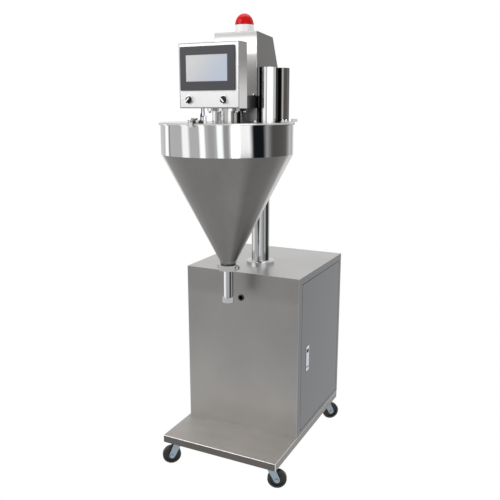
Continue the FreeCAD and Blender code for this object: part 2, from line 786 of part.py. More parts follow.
def make_control_gear():
    """Mounting plate on stand-offs from the left wall, with its devices."""
    wall = tray_left + S.sheet
    face = wall + S.panel_standoff
    middle = (cabinet_front + cabinet_back) / 2
    low = tray_top + S.panel_rise
    start = middle - S.panel_width / 2
    plate = block((face, start, low), (face + S.sheet, start + S.panel_width,
                                       low + S.panel_height))
    stands = []
    for along in (start + S.rear_lip, start + S.panel_width - S.rear_lip):
        for level in (low + S.rear_lip, low + S.panel_height - S.rear_lip):
            stands.append(rod(S.bolt_radius * 2, (wall, along, level), S.panel_standoff, "X"))
    front = face + S.sheet
    devices = [
        # width, height and depth of a device, and its place on the plate
        (55, 170, 140, 20, 225),
        (90, 150, 110, 95, 235),
        (100, 40, 60, 200, 300),
        (45, 85, 75, 205, 180),
        (260, 45, 45, 30, 30),
        (110, 90, 65, 30, 100),
    ]
    boxes = []
    for wide, tall, deep, along, level in devices:
        boxes.append(block((front, start + along, low + level),
                           (front + deep, start + along + wide, low + level + tall)))
    node(group(fuse(plate, *stands), *boxes), "control_gear")


# ---- Side door ----------------------------------------------------------------------

def handle_window():
    """Corners of the finger recess in the door, as (along, level)."""
    middle = door_front + S.door_gap + S.handle_inset
    half_wide = S.paddle_width / 2 + S.sheet
    half_tall = S.paddle_length / 2 + S.sheet
    return (middle - half_wide, S.handle_height - half_tall), (
        middle + half_wide, S.handle_height + half_tall)


def make_side_door():
    """Folded pan door with pivot holes in its top and bottom edges."""
    front = door_front + S.door_gap
    back = door_back - S.door_gap
    low = door_low + S.door_gap
    high = door_high - S.door_gap
    body = new_body()
    outline = sketch_on(body, "YZ_Plane", tray_right)
    rectangle(outline, (front, low), (back, high))
    pad(body, outline, S.door_depth, back=True)
    inside = sketch_on(body, "YZ_Plane", tray_right - S.door_depth)
    rectangle(inside, (front + S.sheet, low + S.sheet), (back - S.sheet, high - S.sheet))
    pocket(body, inside, S.door_depth - S.sheet, back=True)
    window = sketch_on(body, "YZ_Plane", tray_right)
    rectangle(window, *handle_window())
    pocket(body, window, S.sheet * 4, both=True)
    for level in (low, high):
        pivot = sketch_on(body, "XY_Plane", level)
        circle(pivot, door_axis(), S.door_pin_radius + S.running_gap)
        pocket(body, pivot, S.sheet * 3, both=True)
    node(body, "side_door")


def make_door_hinges():
    """Two pivot pins, fixed in the doorway's top and bottom returns."""
    across, along = door_axis()
    head = S.door_pin_radius * 1.3
    low_start = door_low - S.sheet - S.sheet
    low = fuse(rod(S.door_pin_radius, (across, along, low_start), S.pin_length),
               rod(head, (across, along, low_start), S.sheet))
    high_end = door_high + S.sheet + S.sheet
    high = fuse(rod(S.door_pin_radius, (across, along, high_end - S.pin_length), S.pin_length),
                rod(head, (across, along, high_end - S.sheet), S.sheet))
    node(group(low, high), "door_hinge_pins")


def paddle_axis():
    """Level and depth of the paddle's hinge, near its lower end."""
    level = S.handle_height - S.paddle_length / 2 + S.paddle_thick
    return tray_right + S.handle_rim - S.paddle_thick / 2, level


def make_door_handle():
    """Handle plate on the door with the dished recess behind the paddle."""
    (near, low), (far, high) = handle_window()
    middle = (near + far) / 2
    outer = tray_right + S.handle_rim
    plate = block((tray_right, middle - S.handle_width / 2, S.handle_height - S.handle_length / 2),
                  (outer, middle + S.handle_width / 2, S.handle_height + S.handle_length / 2))
    dish = block((tray_right - S.dish_depth - S.sheet, near, low), (tray_right, far, high))
    hollow = block((tray_right - S.dish_depth, near + S.sheet - S.seat_gap,
                    low + S.sheet - S.seat_gap),
                   (outer + 1, far - S.sheet + S.seat_gap, high - S.sheet + S.seat_gap))
    depth, level = paddle_axis()
    pin = rod(S.paddle_pin, (depth, near + S.sheet / 2, level), far - near - S.sheet, "Y")
    node(fuse(cut(fuse(plate, dish), hollow), pin), "door_handle_plate")


def make_door_paddle():
    """Paddle lever, hinged near its lower end."""
    (near, _), (far, _) = handle_window()
    middle = (near + far) / 2
    half = S.paddle_width / 2
    outer = tray_right + S.handle_rim
    depth, level = paddle_axis()
    lever = block((outer - S.paddle_thick, middle - half, level),
                  (outer, middle + half,
                   S.handle_height + S.paddle_length / 2 - S.finger_gap))
    boss = rod(S.paddle_thick / 2, (depth, middle - half, level), S.paddle_width, "Y")
    bore = rod(S.paddle_pin + S.running_gap, (depth, middle - half - 1, level),
               S.paddle_width + 2, "Y")
    node(cut(fuse(lever, boss), bore), "door_paddle")


# ---- Column and head frame ------------------------------------------------------

def make_column():
    top = S.head_floor + S.socket_depth
    inner = S.column_radius - S.column_wall
    tube = turned([(inner, cabinet_top), (S.column_radius, cabinet_top),
                   (S.column_radius, top), (inner, top)], (0, column_y, 0))
    node(tube, "column_tube")
    face = cabinet_top + S.collar_height
    edge = S.bend_radius
    step = S.collar_height * 0.2
    collar = turned([
        (S.column_radius, cabinet_top), (S.collar_radius, cabinet_top),
        (S.collar_radius, face - step - edge / 2), (S.collar_radius - edge / 2, face - step),
        (S.collar_hub + edge, face - step), (S.collar_hub, face),
        (S.column_radius, face)], (0, column_y, 0))
    node(collar, "column_collar")


def head_rear(level):
    """Outer face of the housing's sloping rear wall at a level."""
    rise = S.head_top_rear - S.head_floor
    fall = S.head_foot_depth - S.head_top_depth
    return housing_front + S.head_top_depth + fall * (S.head_top_rear - level) / rise


def make_head_frame():
    """Cast foot, side cheeks, drive plate and motor shelf, welded together."""
    inner = S.head_width / 2 - S.sheet
    floor_top = S.head_floor + S.floor_thick
    shelf_top = S.shelf_level + S.shelf_thick
    inside_front = housing_front + S.sheet
    foot_back = head_rear(floor_top) - S.sheet * 2
    deck_back = motor_y + S.gear_side / 2
    foot = block((-inner, inside_front, S.head_floor), (inner, foot_back, floor_top))
    deck = block((-inner, case_front + S.sheet, S.drive_level), (inner, deck_back, drive_top))
    shelf = block((-inner, inside_front, S.shelf_level), (inner, deck_back, shelf_top))
    left_cheek = block((-inner, inside_front, floor_top),
                       (-inner + S.shelf_thick / 2, deck_back, S.shelf_level))
    right_cheek = block((inner - S.shelf_thick / 2, inside_front, floor_top),
                        (inner, deck_back, S.shelf_level))
    frame = fuse(foot, deck, shelf, left_cheek, right_cheek)
    socket = rod(S.column_radius, (0, column_y, S.head_floor), S.socket_depth)
    spindle = rod(S.quill_radius + S.seat_gap, (0, auger_y, S.drive_level - 1),
                  S.drive_thick + 2)
    boss = S.drive_shaft + S.seat_gap * 4
    holes = [rod(boss, (S.motor_offset * side, motor_y, S.shelf_level - 1), S.shelf_thick + 2)
             for side in (-1, 1)]
    node(cut(frame, socket, spindle, *holes), "head_frame")


def make_motor_housing():
    """Sheet housing with a sloping back, open below and towards the transmission case."""
    body = new_body()
    side_view = sketch_on(body, "YZ_Plane")
    polygon(side_view, flat([
        (housing_front, S.head_floor),
        (housing_front + S.head_foot_depth, S.head_floor),
        (housing_front + S.head_top_depth, S.head_top_rear),
        (housing_front, S.head_top)]))
    pad(body, side_view, S.head_width, both=True)
    front = housing_front.value
    low = S.head_floor.value
    fillet(body, S.bend_radius, lambda edge: edge.BoundBox.ZMin > low + 1
           or (runs_along(edge, "Z") and abs(edge.BoundBox.YMin - front) < 0.001))
    inside = sketch_on(body, "YZ_Plane")
    polygon(inside, flat([
        (housing_front + S.sheet, S.head_floor),
        (housing_front + S.head_foot_depth - S.sheet * 1.1, S.head_floor),
        (housing_front + S.head_top_depth - S.sheet * 0.65, S.head_top_rear - S.sheet),
        (housing_front + S.sheet, S.head_top - S.sheet)]))
    pocket(body, inside, S.head_width - S.sheet * 2, both=True)
    inner = S.head_width / 2 - S.sheet
    opening = sketch_on(body, "XZ_Plane", -housing_front)
    rectangle(opening, (-inner, S.drive_level - S.seat_gap), (inner, S.case_top))
    pocket(body, opening, S.sheet * 4, both=True)
    notch = sketch_on(body, "XZ_Plane", -housing_front)
    half_notch = S.sleeve_radius * 0.6
    rectangle(notch, (-half_notch, S.drive_level - S.sleeve_flange - S.bolt_head_height * 2),
              (half_notch, S.drive_level))
    pocket(body, notch, S.sheet * 4, both=True)
    node(body, "motor_housing")


def make_transmission_cover():
    """Folded cover over the belts, in front of the housing."""
    body = new_body()
    plan = sketch_on(body, "XY_Plane", S.drive_level)
    half = S.head_width / 2
    rectangle(plan, (-half, case_front), (half, housing_front))
    pad(body, plan, S.case_top - S.drive_level)
    inside = sketch_on(body, "XY_Plane", S.drive_level)
    rectangle(inside, (-half + S.sheet, case_front + S.sheet), (half - S.sheet, housing_front))
    pocket(body, inside, S.case_top - S.drive_level - S.sheet, back=True)
    node(body, "transmission_cover")


def acorn_nut(across, along, level, up=1):
    """Domed M6 nut standing on a face, or hanging under it."""
    height = S.bolt_head_height
    if up > 0:
        return fuse(hexagon(S.bolt_head_radius, (across, along, level), height),
                    taper(S.bolt_head_radius * 0.8, S.bolt_radius * 0.6,
                          (across, along, level + height), height * 0.75))
    return fuse(hexagon(S.bolt_head_radius, (across, along, level - height), height),
                taper(S.bolt_radius * 0.6, S.bolt_head_radius * 0.8,
                      (across, along, level - height * 1.75), height * 0.75))


def around(radius, degrees):
    """A point round the auger axis; 0 degrees is the front."""
    angle = math.radians(degrees)
    return radius * math.sin(angle), auger_y - radius * math.cos(angle)


LATCHES = {"front": 0, "rear_right": 120, "rear_left": 240}


def make_acorn_nuts():
    """Nuts of the sleeve's flange, the lid, the latches and the transmission cover."""
    nuts = []
    flange_circle = (S.flange_radius + S.sleeve_radius) / 2
    flange_low = S.drive_level - S.sleeve_flange
    for index in range(6):
        nuts.append(acorn_nut(*around(flange_circle, index * 60), flange_low, -1))
    lid_circle = S.sleeve_radius + S.flange_radius * 0.71
    for degrees in (0, 100, 260):
        nuts.append(acorn_nut(*around(lid_circle, degrees), lid_top))
    for degrees in LATCHES.values():
        for inward in (8, 20):
            nuts.append(acorn_nut(*around(S.base_inner + inward, degrees),
                                  lid_top + S.base_thick))
    reach = S.head_width / 2 - S.bolt_inset
    for across in (-reach, reach):
        for along in (case_front + S.bolt_inset, housing_front - S.bolt_inset):
            nuts.append(acorn_nut(across, along, S.case_top))
    node(group(*nuts), "acorn_nuts")


# ---- Drive ----------------------------------------------------------------------------

def make_motors():
    shelf_top = S.shelf_level + S.shelf_thick
    half = S.servo_side / 2
    plug = S.servo_side / 4
    servo = fuse(
        block((-S.motor_offset - half, motor_y - half, shelf_top),
              (-S.motor_offset + half, motor_y + half, shelf_top + S.servo_height)),
        block((-S.motor_offset - plug, motor_y + half, shelf_top + S.servo_height * 0.6),
              (-S.motor_offset + plug, motor_y + half + plug,
               shelf_top + S.servo_height * 0.85)))
    node(servo, "servo_motor")
    half = S.gear_side / 2
    gear_top = shelf_top + S.gear_height
    stirrer = fuse(
        block((S.motor_offset - half, motor_y - half, shelf_top),
              (S.motor_offset + half, motor_y + half, gear_top)),
        rod(S.stirrer_radius, (S.motor_offset, motor_y, gear_top), S.stirrer_height))
    node(stirrer, "stirrer_gearmotor")


def pulley(face_radius, bore, level, base):
    """Flanged belt pulley; the belt runs just clear of its face."""
    rim = face_radius + S.belt_thick + S.pulley_flange / 2
    low = level - S.flange_thick - S.seat_gap
    high = level + S.belt_width + S.flange_thick + S.seat_gap
    return turned([
        (bore, low), (rim, low), (rim, low + S.flange_thick),
        (face_radius, low + S.flange_thick), (face_radius, high - S.flange_thick),
        (rim, high - S.flange_thick), (rim, high), (bore, high)], base)


def motor_pulley(level, across, label):
    """Small pulley with the motor shaft that drives it."""
    wheel = pulley(S.small_pulley, S.drive_shaft, level, (across, motor_y, 0))
    low = level - S.flange_thick - S.seat_gap
    shaft = rod(S.drive_shaft, (across, motor_y, low), S.shelf_level + S.shelf_thick - low
                - S.seat_gap)
    node(group(wheel, shaft), label)


def belt_loop(level, face_radius, motor_radius, across):
    """Belt round two pulleys: two arcs joined by their common tangents."""
    centre = FreeCAD.Vector(0, auger_y.value, level.value)
    far = FreeCAD.Vector(across.value, motor_y.value, level.value)
    reach = far - centre
    lean = math.asin((face_radius - motor_radius) / reach.Length)
    heading = math.atan2(reach.y, reach.x)
    loop = []
    for side in (1, -1):
        angle = heading + side * (math.pi / 2 - lean)
        loop.append(FreeCAD.Vector(math.cos(angle), math.sin(angle), 0))
    back = FreeCAD.Vector(math.cos(heading), math.sin(heading), 0)
    left, right = loop
    edges = [
        Part.LineSegment(centre + left * face_radius, far + left * motor_radius).toShape(),
        Part.Arc(far + left * motor_radius, far + back * motor_radius,
                 far + right * motor_radius).toShape(),
        Part.LineSegment(far + right * motor_radius, centre + right * face_radius).toShape(),
        Part.Arc(centre + right * face_radius, centre - back * face_radius,
                 centre + left * face_radius).toShape()]
    return Part.Face(Part.Wire(edges))


def make_drive_belts():
    """The auger's belt above the stirrer's belt."""
    loops = []
    for level, across in ((S.upper_belt, -S.motor_offset), (S.lower_belt, S.motor_offset)):
        inner = S.seat_gap.value
        outer = inner + S.belt_thick.value
        faces = [belt_loop(level, S.large_pulley.value + grow, S.small_pulley.value + grow,
                           across) for grow in (outer, inner)]
        ring = faces[0].cut(faces[1])
        loops.append(ring.extrude(FreeCAD.Vector(0, 0, S.belt_width.value)))
    belts = doc.addObject("Part::Feature", "Belts")
    belts.Shape = Part.makeCompound([solid for loop in loops for solid in loop.Solids])
    node(belts, "drive_belts")


def make_spindle_sleeve():
    """Polished sleeve whose two webs are the bushes of the hollow stirrer shaft."""
    bush = S.quill_radius + S.running_gap
    inner = S.sleeve_radius - S.sleeve_wall
    flange_low = S.drive_level - S.sleeve_flange
    sleeve = turned([
        (bush, lid_top), (S.sleeve_radius, lid_top), (S.sleeve_radius, flange_low),
        (S.flange_radius, flange_low), (S.flange_radius, S.drive_level),
        (bush, S.drive_level), (bush, S.drive_level - S.sleeve_web),
        (inner, S.drive_level - S.sleeve_web), (inner, lid_top + S.sleeve_web),
        (bush, lid_top + S.sleeve_web)], (0, auger_y, 0))
    node(sleeve, "spindle_sleeve")


def make_auger():
    """Shaft, core and helical flight in one piece."""
    top = S.upper_belt + S.belt_width + S.flange_thick + S.seat_gap
    flight_top = S.flight_bottom + S.flight_height
    shoulder = flight_top + S.flight_pitch / 2
    body = turned([
        (0, S.flight_bottom), (S.core_radius, S.flight_bottom), (S.core_radius, flight_top),
        (S.shaft_radius, shoulder), (S.shaft_radius, top), (0, top)], (0, auger_y, 0))
    section = sketch_on(body, "XZ_Plane")
    root = S.core_radius - S.flight_thick / 2
    rectangle(section, (root, S.flight_bottom), (S.flight_radius, S.flight_bottom + S.flight_thick))
    flight = body.newObject("PartDesign::AdditiveHelix", "Flight")
    flight.Profile = section
    flight.ReferenceAxis = (section, ["V_Axis"])
    flight.Mode = 0
    bind(flight, "Pitch", S.flight_pitch)
    bind(flight, "Height", S.flight_height - S.flight_thick)
    node(body, "auger_screw")
    node(pulley(S.large_pulley, S.shaft_radius, S.upper_belt, (0, auger_y, 0)), "auger_pulley")


def hopper_inside(level):
    """Inner radius of the cone at a level."""
    slope = (S.band_radius - S.spigot_radius) / (S.band_bottom - S.cone_bottom)
    return S.spigot_radius + slope * (level - S.cone_bottom) - S.sheet * 1.2


def make_agitator():
    """Hollow shaft with a frame of flat bars that follows the hopper's wall."""
    bush = S.shaft_radius + S.running_gap
    quill_top = S.lower_belt + S.belt_width + S.flange_thick + S.seat_gap
    body = turned([
        (bush, S.quill_bottom), (S.quill_radius, S.quill_bottom),
        (S.quill_radius, quill_top), (bush, quill_top)], (0, auger_y, 0))
    wide = S.band_radius - S.sheet - S.scrape_gap
    foot = hopper_inside(S.ring_level) - S.scrape_gap
    bar = S.arm_width
    arm_low = S.arm_top - S.arm_height
    ring_top = S.ring_level + S.ring_height
    frame = sketch_on(body, "XZ_Plane")
    polygon(frame, flat([
        (-wide, S.arm_top), (-wide, S.band_bottom), (-foot, S.ring_level),
        (foot, S.ring_level), (wide, S.band_bottom), (wide, S.arm_top)]))
    inner_foot = hopper_inside(ring_top) - S.scrape_gap - bar * 1.1
    polygon(frame, flat([
        (-wide + bar, arm_low), (-wide + bar, S.band_bottom + bar * 0.3),
        (-inner_foot, ring_top), (inner_foot, ring_top),
        (wide - bar, S.band_bottom + bar * 0.3), (wide - bar, arm_low)]))
    pad(body, frame, S.arm_thick, both=True)
    ring = sketch_on(body, "XY_Plane", S.ring_level)
    circle(ring, (0, 0), S.ring_radius)
    pad(body, ring, S.ring_height)
    foot_bore = sketch_on(body, "XY_Plane", S.ring_level)
    circle(foot_bore, (0, 0), S.ring_bore)
    pocket(body, foot_bore, S.ring_height * 4, both=True)
    bore = sketch_on(body, "XY_Plane", S.quill_bottom)
    circle(bore, (0, 0), bush)
    pocket(body, bore, (quill_top - S.quill_bottom) * 2, back=True)
    node(body, "agitator_frame")
    node(pulley(S.large_pulley, S.quill_radius, S.lower_belt, (0, auger_y, 0)),
         "agitator_pulley")


# ---- Lid and hopper ------------------------------------------------------------------

def make_lid():
    """Flat lid with the holes of the shaft, both tubes and the level probe."""
    body = new_body((0, auger_y, 0))
    disc = sketch_on(body, "XY_Plane", S.lid_level)
    circle(disc, (0, 0), S.lid_radius)
    pad(body, disc, S.lid_thick)
    bore = S.inlet_radius - S.inlet_wall
    holes = (((0, 0), S.quill_radius + S.seat_gap), ((S.inlet_x, S.inlet_y), bore),
             ((S.vent_x, S.vent_y), bore), ((S.sensor_x, -S.sensor_y), S.sensor_radius / 2))
    for centre, radius in holes:
        hole = sketch_on(body, "XY_Plane", S.lid_level)
        circle(hole, centre, radius)
        pocket(body, hole, S.lid_thick * 4, both=True)
    node(body, "hopper_lid")
    inner = S.band_radius - S.sheet
    gasket = turned([(inner, rim_top), (S.lid_radius, rim_top), (S.lid_radius, S.lid_level),
                     (inner, S.lid_level)], (0, auger_y, 0))
    node(gasket, "lid_gasket")


def make_lid_tubes():
    top = lid_top + S.inlet_length
    inner = S.inlet_radius - S.inlet_wall
    tubes = (("powder_inlet_tube", S.inlet_x, S.inlet_y), ("dust_vent_tube", S.vent_x, S.vent_y))
    for label, across, along in tubes:
        tube = turned([(inner, lid_top), (S.inlet_radius, lid_top), (S.inlet_radius, top),
                       (inner, top)], (across, auger_y + along, 0))
        node(tube, label)


def make_hopper():
    """Rim, band, cone, spigot and ferrule, spun from one sheet."""
    under_rim = rim_top - S.rim_thick
    inner = S.band_radius - S.sheet
    lean = S.sheet * 1.2
    ferrule_top = S.joint_level + S.ferrule_thick
    hopper = turned([
        (inner, rim_top), (S.rim_radius, rim_top), (S.rim_radius, under_rim),
        (S.band_radius, under_rim), (S.band_radius, S.band_bottom),
        (S.spigot_radius, S.cone_bottom), (S.spigot_radius, S.cone_bottom - S.ferrule_thick),
        (S.neck_radius, ferrule_top), (S.ferrule_radius, ferrule_top),
        (S.ferrule_radius, S.joint_level), (S.spigot_bore, S.joint_level),
        (S.spigot_bore, S.cone_bottom - S.ferrule_thick),
        (S.spigot_radius - lean, S.cone_bottom), (inner, S.band_bottom + lean / 2)],
        (0, auger_y, 0))
    node(hopper, "hopper")


def make_ferrule_clamp():
    """Two clamp halves bolted through lugs at the left and the right."""
    half_tall = S.clamp_height / 2
    low = S.joint_level - half_tall
    high = S.joint_level + half_tall
    grip = S.ferrule_thick + S.seat_gap
    neck = S.neck_radius + S.split_gap
    ring = turned([
        (neck, low), (S.clamp_radius, low), (S.clamp_radius, high), (neck, high),
        (neck, S.joint_level + grip),
        (S.ferrule_radius + S.seat_gap, S.joint_level + grip),
        (S.ferrule_radius + S.seat_gap, S.joint_level - grip),
        (neck, S.joint_level - grip)], (0, auger_y, 0))
    lug_low = S.joint_level - S.lug_width / 2
    lug_high = S.joint_level + S.lug_width / 2
    inside = S.ferrule_radius + S.seat_gap * 6
    lugs = [block((side * inside if side > 0 else -S.clamp_reach, auger_y - S.lug_width / 2,
                   lug_low),
                  (S.clamp_reach if side > 0 else -inside, auger_y + S.lug_width / 2, lug_high))
            for side in (-1, 1)]
    whole = fuse(ring, *lugs)
    front = block((-S.clamp_reach - 1, auger_y - S.clamp_reach, low - 1),
                  (S.clamp_reach + 1, auger_y - S.split_gap / 2, high + 1))
    rear = block((-S.clamp_reach - 1, auger_y + S.split_gap / 2, low - 1),
                 (S.clamp_reach + 1, auger_y + S.clamp_reach, high + 1))
    halves = []
    for keep in (front, rear):
        common = doc.addObject("Part::MultiCommon", "ClampHalf")
        common.Shapes = [whole, keep]
        halves.append(common)
    bolt_x = S.clamp_reach - S.bolt_radius * 1.2
    start = auger_y - S.lug_width / 2 - S.bolt_head_height
    heads = []
    for side in (-1, 1):
        heads.append(hexagon(S.bolt_radius * 1.5, (bolt_x * side, start, S.joint_level),
                             S.bolt_head_height, "Y"))
        heads.append(hexagon(S.bolt_radius * 1.5, (bolt_x * side, auger_y + S.lug_width / 2,
                                                   S.joint_level), S.bolt_head_height, "Y"))
    node(group(*halves, *heads), "ferrule_clamp")


def make_nozzle():
    """Nozzle tube with its ferrule, and the end nut."""
    ferrule_low = S.joint_level - S.ferrule_thick
    funnel = S.spigot_bore - S.nozzle_bore
    tube = turned([
        (S.nozzle_bore, S.nozzle_bottom), (S.nozzle_radius, S.nozzle_bottom),
        (S.nozzle_radius, ferrule_low - S.ferrule_thick), (S.neck_radius, ferrule_low),
        (S.ferrule_radius, ferrule_low), (S.ferrule_radius, S.joint_level),
        (S.spigot_bore, S.joint_level), (S.nozzle_bore, S.joint_level - funnel)],
        (0, auger_y, 0))
    node(tube, "nozzle_tube")
    cap = turned([
        (S.cap_bore, S.cap_bottom), (S.cap_radius - S.cap_flute, S.cap_bottom),
        (S.cap_radius, S.cap_bottom + S.cap_flute), (S.cap_radius, S.cap_top - S.cap_flute),
        (S.cap_radius - S.cap_flute, S.cap_top), (S.nozzle_radius, S.cap_top),
        (S.nozzle_radius, S.nozzle_bottom), (S.cap_bore, S.nozzle_bottom)], (0, auger_y, 0))
    flute = sketch_on(cap, "XY_Plane", S.cap_bottom)
    circle(flute, (S.cap_radius + S.cap_flute * 0.4, 0), S.cap_flute)
    groove = pocket(cap, flute, (S.cap_top - S.cap_bottom) * 2, both=True)
    polar_pattern(cap, groove, S.flute_count)
    node(cap, "nozzle_end_nut")


# ---- Latches ------------------------------------------------------------------------

def make_latch_bases():
    """Feet, ears and pivot pins of the three latches; +X points away from the auger."""
    pieces = []
    half = S.latch_width / 2 + S.seat_gap
    outer = half + S.ear_thick
    foot_top = lid_top + S.base_thick
    pivot = lid_top + S.latch_rise
    ear_top = pivot + S.latch_disc
    ear_end = S.latch_pivot + S.latch_disc
    ear_start = ear_end - S.latch_disc * 4
    for degrees in LATCHES.values():
        foot = block((S.base_inner, -outer, lid_top), (S.lid_radius, outer, foot_top))
        ears = [block((ear_start, low, lid_top), (ear_end, low + S.ear_thick, ear_top))
                for low in (-outer, half)]
        pin = rod(S.latch_pin, (S.latch_pivot, -outer, pivot), outer * 2, "Y")
        whole = fuse(foot, *ears, pin)
        pieces.append(place(whole, (0, auger_y, 0), degrees=degrees - 90))
    node(group(*pieces), "latch_bases")


def make_latch_lever(name, degrees):
    """Hooked lever that grips under the hopper's rim."""
    pivot = lid_top + S.latch_rise
    hook_top = rim_top - S.rim_thick - S.seat_gap
    hook_low = hook_top - S.base_thick * 1.2
    arm_in = S.rim_radius + S.seat_gap * 3
    arm_out = S.latch_pivot + S.latch_disc
    hook_tip = S.band_radius + S.seat_gap * 5
    handle_low = pivot - S.latch_disc * 0.2
    handle_high = pivot + S.latch_disc * 0.6
    body = new_body()
    side_view = sketch_on(body, "XZ_Plane")
    polygon(side_view, flat([
        (arm_in, pivot), (arm_in, hook_top), (hook_tip, hook_top), (hook_tip, hook_low),
        (arm_out - S.base_thick / 2, hook_low), (arm_out, hook_low + S.base_thick / 2),
        (arm_out, handle_low), (S.latch_reach, handle_low), (S.latch_reach, handle_high),
        (arm_in, handle_high)]))
    pad(body, side_view, S.latch_width, both=True)
    boss = sketch_on(body, "XZ_Plane")
    circle(boss, (S.latch_pivot, pivot), S.latch_disc)
    pad(body, boss, S.latch_width, both=True)
    bore = sketch_on(body, "XZ_Plane")
    circle(bore, (S.latch_pivot, pivot), S.latch_pin + S.running_gap)
    pocket(body, bore, S.latch_width * 2, both=True)
    place(body, (0, auger_y, 0), degrees=degrees - 90)
    node(body, f"latch_lever_{name}")


# ---- Operator panel --------------------------------------------------------------

def make_panel_box():
    """Box of the operator panel with the cut-out for the screen, and the knob rings."""
    half = S.panel_box_width / 2
    body = new_body()
    plan = sketch_on(body, "XY_Plane", S.panel_box_level)
    rectangle(plan, (-half, panel_front), (half, panel_back))
    pad(body, plan, S.panel_box_height)
    front = panel_front.value
    fillet(body, S.bend_radius, lambda edge: abs(edge.BoundBox.YMin - front) < 0.001
           and edge.BoundBox.YLength < 0.001)
    hollow = block((-half + S.sheet, panel_front + S.sheet, S.panel_box_level + S.sheet),
                   (half - S.sheet, panel_back - S.sheet, panel_top - S.sheet))
    left, right, low, high = bezel_edges()
    window = block((left + S.bezel_margin, panel_front - 1, low + S.bezel_margin),
                   (right - S.bezel_margin, panel_front + S.sheet * 2, high - S.bezel_margin))
    stems = [rod(S.stem_radius + S.seat_gap * 2, (across, panel_front - 1, knob_level()),
                 S.sheet * 3, "Y") for across in (S.left_knob, S.right_knob)]
    shell = cut(body, hollow, window, *stems)
    rings = []
    for across in (S.left_knob, S.right_knob):
        start = panel_front - S.collar_proud
        ring = rod(S.knob_collar, (across, start, knob_level()), S.collar_proud, "Y")
        hole = rod(S.knob_radius + S.seat_gap, (across, start - 1, knob_level()),
                   S.collar_proud + 2, "Y")
        rings.append(cut(ring, hole))
    node(group(shell, *rings), "operator_panel_box")


def bezel_edges():
    left = S.bezel_shift - S.bezel_width / 2
    low = S.panel_box_level + S.bezel_rise
    return left, left + S.bezel_width, low, low + S.bezel_height


def knob_level():
    return S.panel_box_level + S.knob_rise


def make_bezel():
    """Bezel in the box's cut-out and the touch screen behind its window."""
    left, right, low, high = bezel_edges()
    margin = S.bezel_margin + S.seat_gap
    face = panel_front - S.bezel_proud
    screen_left = left + S.screen_left
    screen_low = low + S.screen_foot
    screen_right = screen_left + S.screen_width
    screen_high = screen_low + S.screen_height
    body = new_body()
    plate = sketch_on(body, "XZ_Plane", -panel_front)
    rectangle(plate, (left, low), (right, high))
    pad(body, plate, S.bezel_proud)
    fillet(body, S.bend_radius, lambda edge: runs_along(edge, "Y"))
    rear = sketch_on(body, "XZ_Plane", -panel_front)
    rectangle(rear, (left + margin, low + margin), (right - margin, high - margin))
    pad(body, rear, S.panel_box_depth / 2, back=True)
    window = sketch_on(body, "XZ_Plane", -face)
    rectangle(window, (screen_left, screen_low), (screen_right, screen_high))
    pocket(body, window, S.bezel_proud, back=False)
    node(body, "screen_bezel")
    screen = block((screen_left, face + S.screen_sunk, screen_low),
                   (screen_right, panel_front, screen_high))
    node(screen, "touch_screen")


def make_knob(label, across, lean):
    """Selector knob with a raised grip; it turns about its own Y axis."""
    level = knob_level()
    start = panel_front - S.knob_depth
    disc = rod(S.knob_radius, (0, -S.knob_depth, 0), S.knob_depth - S.seat_gap, "Y")
    half = S.grip_width / 2
    reach = S.knob_radius * 0.92
    grip = block((-half, -S.knob_depth - S.grip_depth, -reach), (half, -S.knob_depth, reach))
    stem = rod(S.stem_radius, (0, -S.seat_gap, 0), S.sheet * 6, "Y")
    knob = fuse(disc, grip, stem)
    place(knob, (across, panel_front, level), (0, 1, 0), lean)
    node(knob, label)


# ---- Beacon --------------------------------------------------------------------------

def make_beacon():
    """White base cut to the sloping roof, red dome, and the turning reflector."""
    beacon_y = housing_front + S.beacon_setback
    seat = (0, beacon_y, 0)
    low = S.head_top_rear
    foot = rod(S.beacon_radius, (0, beacon_y, low), beacon_seam - low)
    side_view = new_body()
    roof = sketch_on(side_view, "YZ_Plane")
    polygon(roof, flat([
        (housing_front, S.head_floor),
        (housing_front + S.head_top_depth, S.head_floor),
        (housing_front + S.head_top_depth, S.head_top_rear),
        (housing_front, S.head_top)]))
    pad(side_view, roof, S.head_width, both=True)
    well = rod(S.beacon_radius - S.dome_wall * 2, (0, beacon_y, beacon_seam - S.dome_wall * 2),
               S.dome_wall * 3)
    node(cut(foot, side_view, well), "beacon_base")
    rise = S.dome_height
    wall = S.dome_wall
    outside = ((1, 0), (0.985, 0.18), (0.91, 0.42), (0.76, 0.66), (0.53, 0.85), (0.26, 0.96),
               (0, 1))
    inside = [(S.beacon_radius * share - wall, beacon_seam + (rise - wall) * height)
              for share, height in outside[:-2]]
    outline = [(S.beacon_radius * share if share else 0, beacon_seam + rise * height)
               for share, height in outside]
    top_inside = [(0, beacon_seam + (rise - wall) * 0.93)]
    dome = turned(outline + top_inside + list(reversed(inside)), seat)
    node(dome, "beacon_dome")
    deck = beacon_seam - wall * 2 + S.seat_gap
    stem = rod(wall, (0, beacon_y, deck), wall * 2)
    cup = cut(rod(S.reflector_radius, (0, beacon_y, deck + wall * 2), rise * 0.42),
              rod(S.reflector_radius - wall / 2, (0, beacon_y, deck + wall * 3), rise),
              block((-S.reflector_radius, beacon_y - S.reflector_radius, deck + wall * 3),
                    (S.reflector_radius, beacon_y - wall, beacon_top)))
    node(fuse(stem, cup), "beacon_reflector")


# ---- Lid fittings and their cables ----------------------------------------------

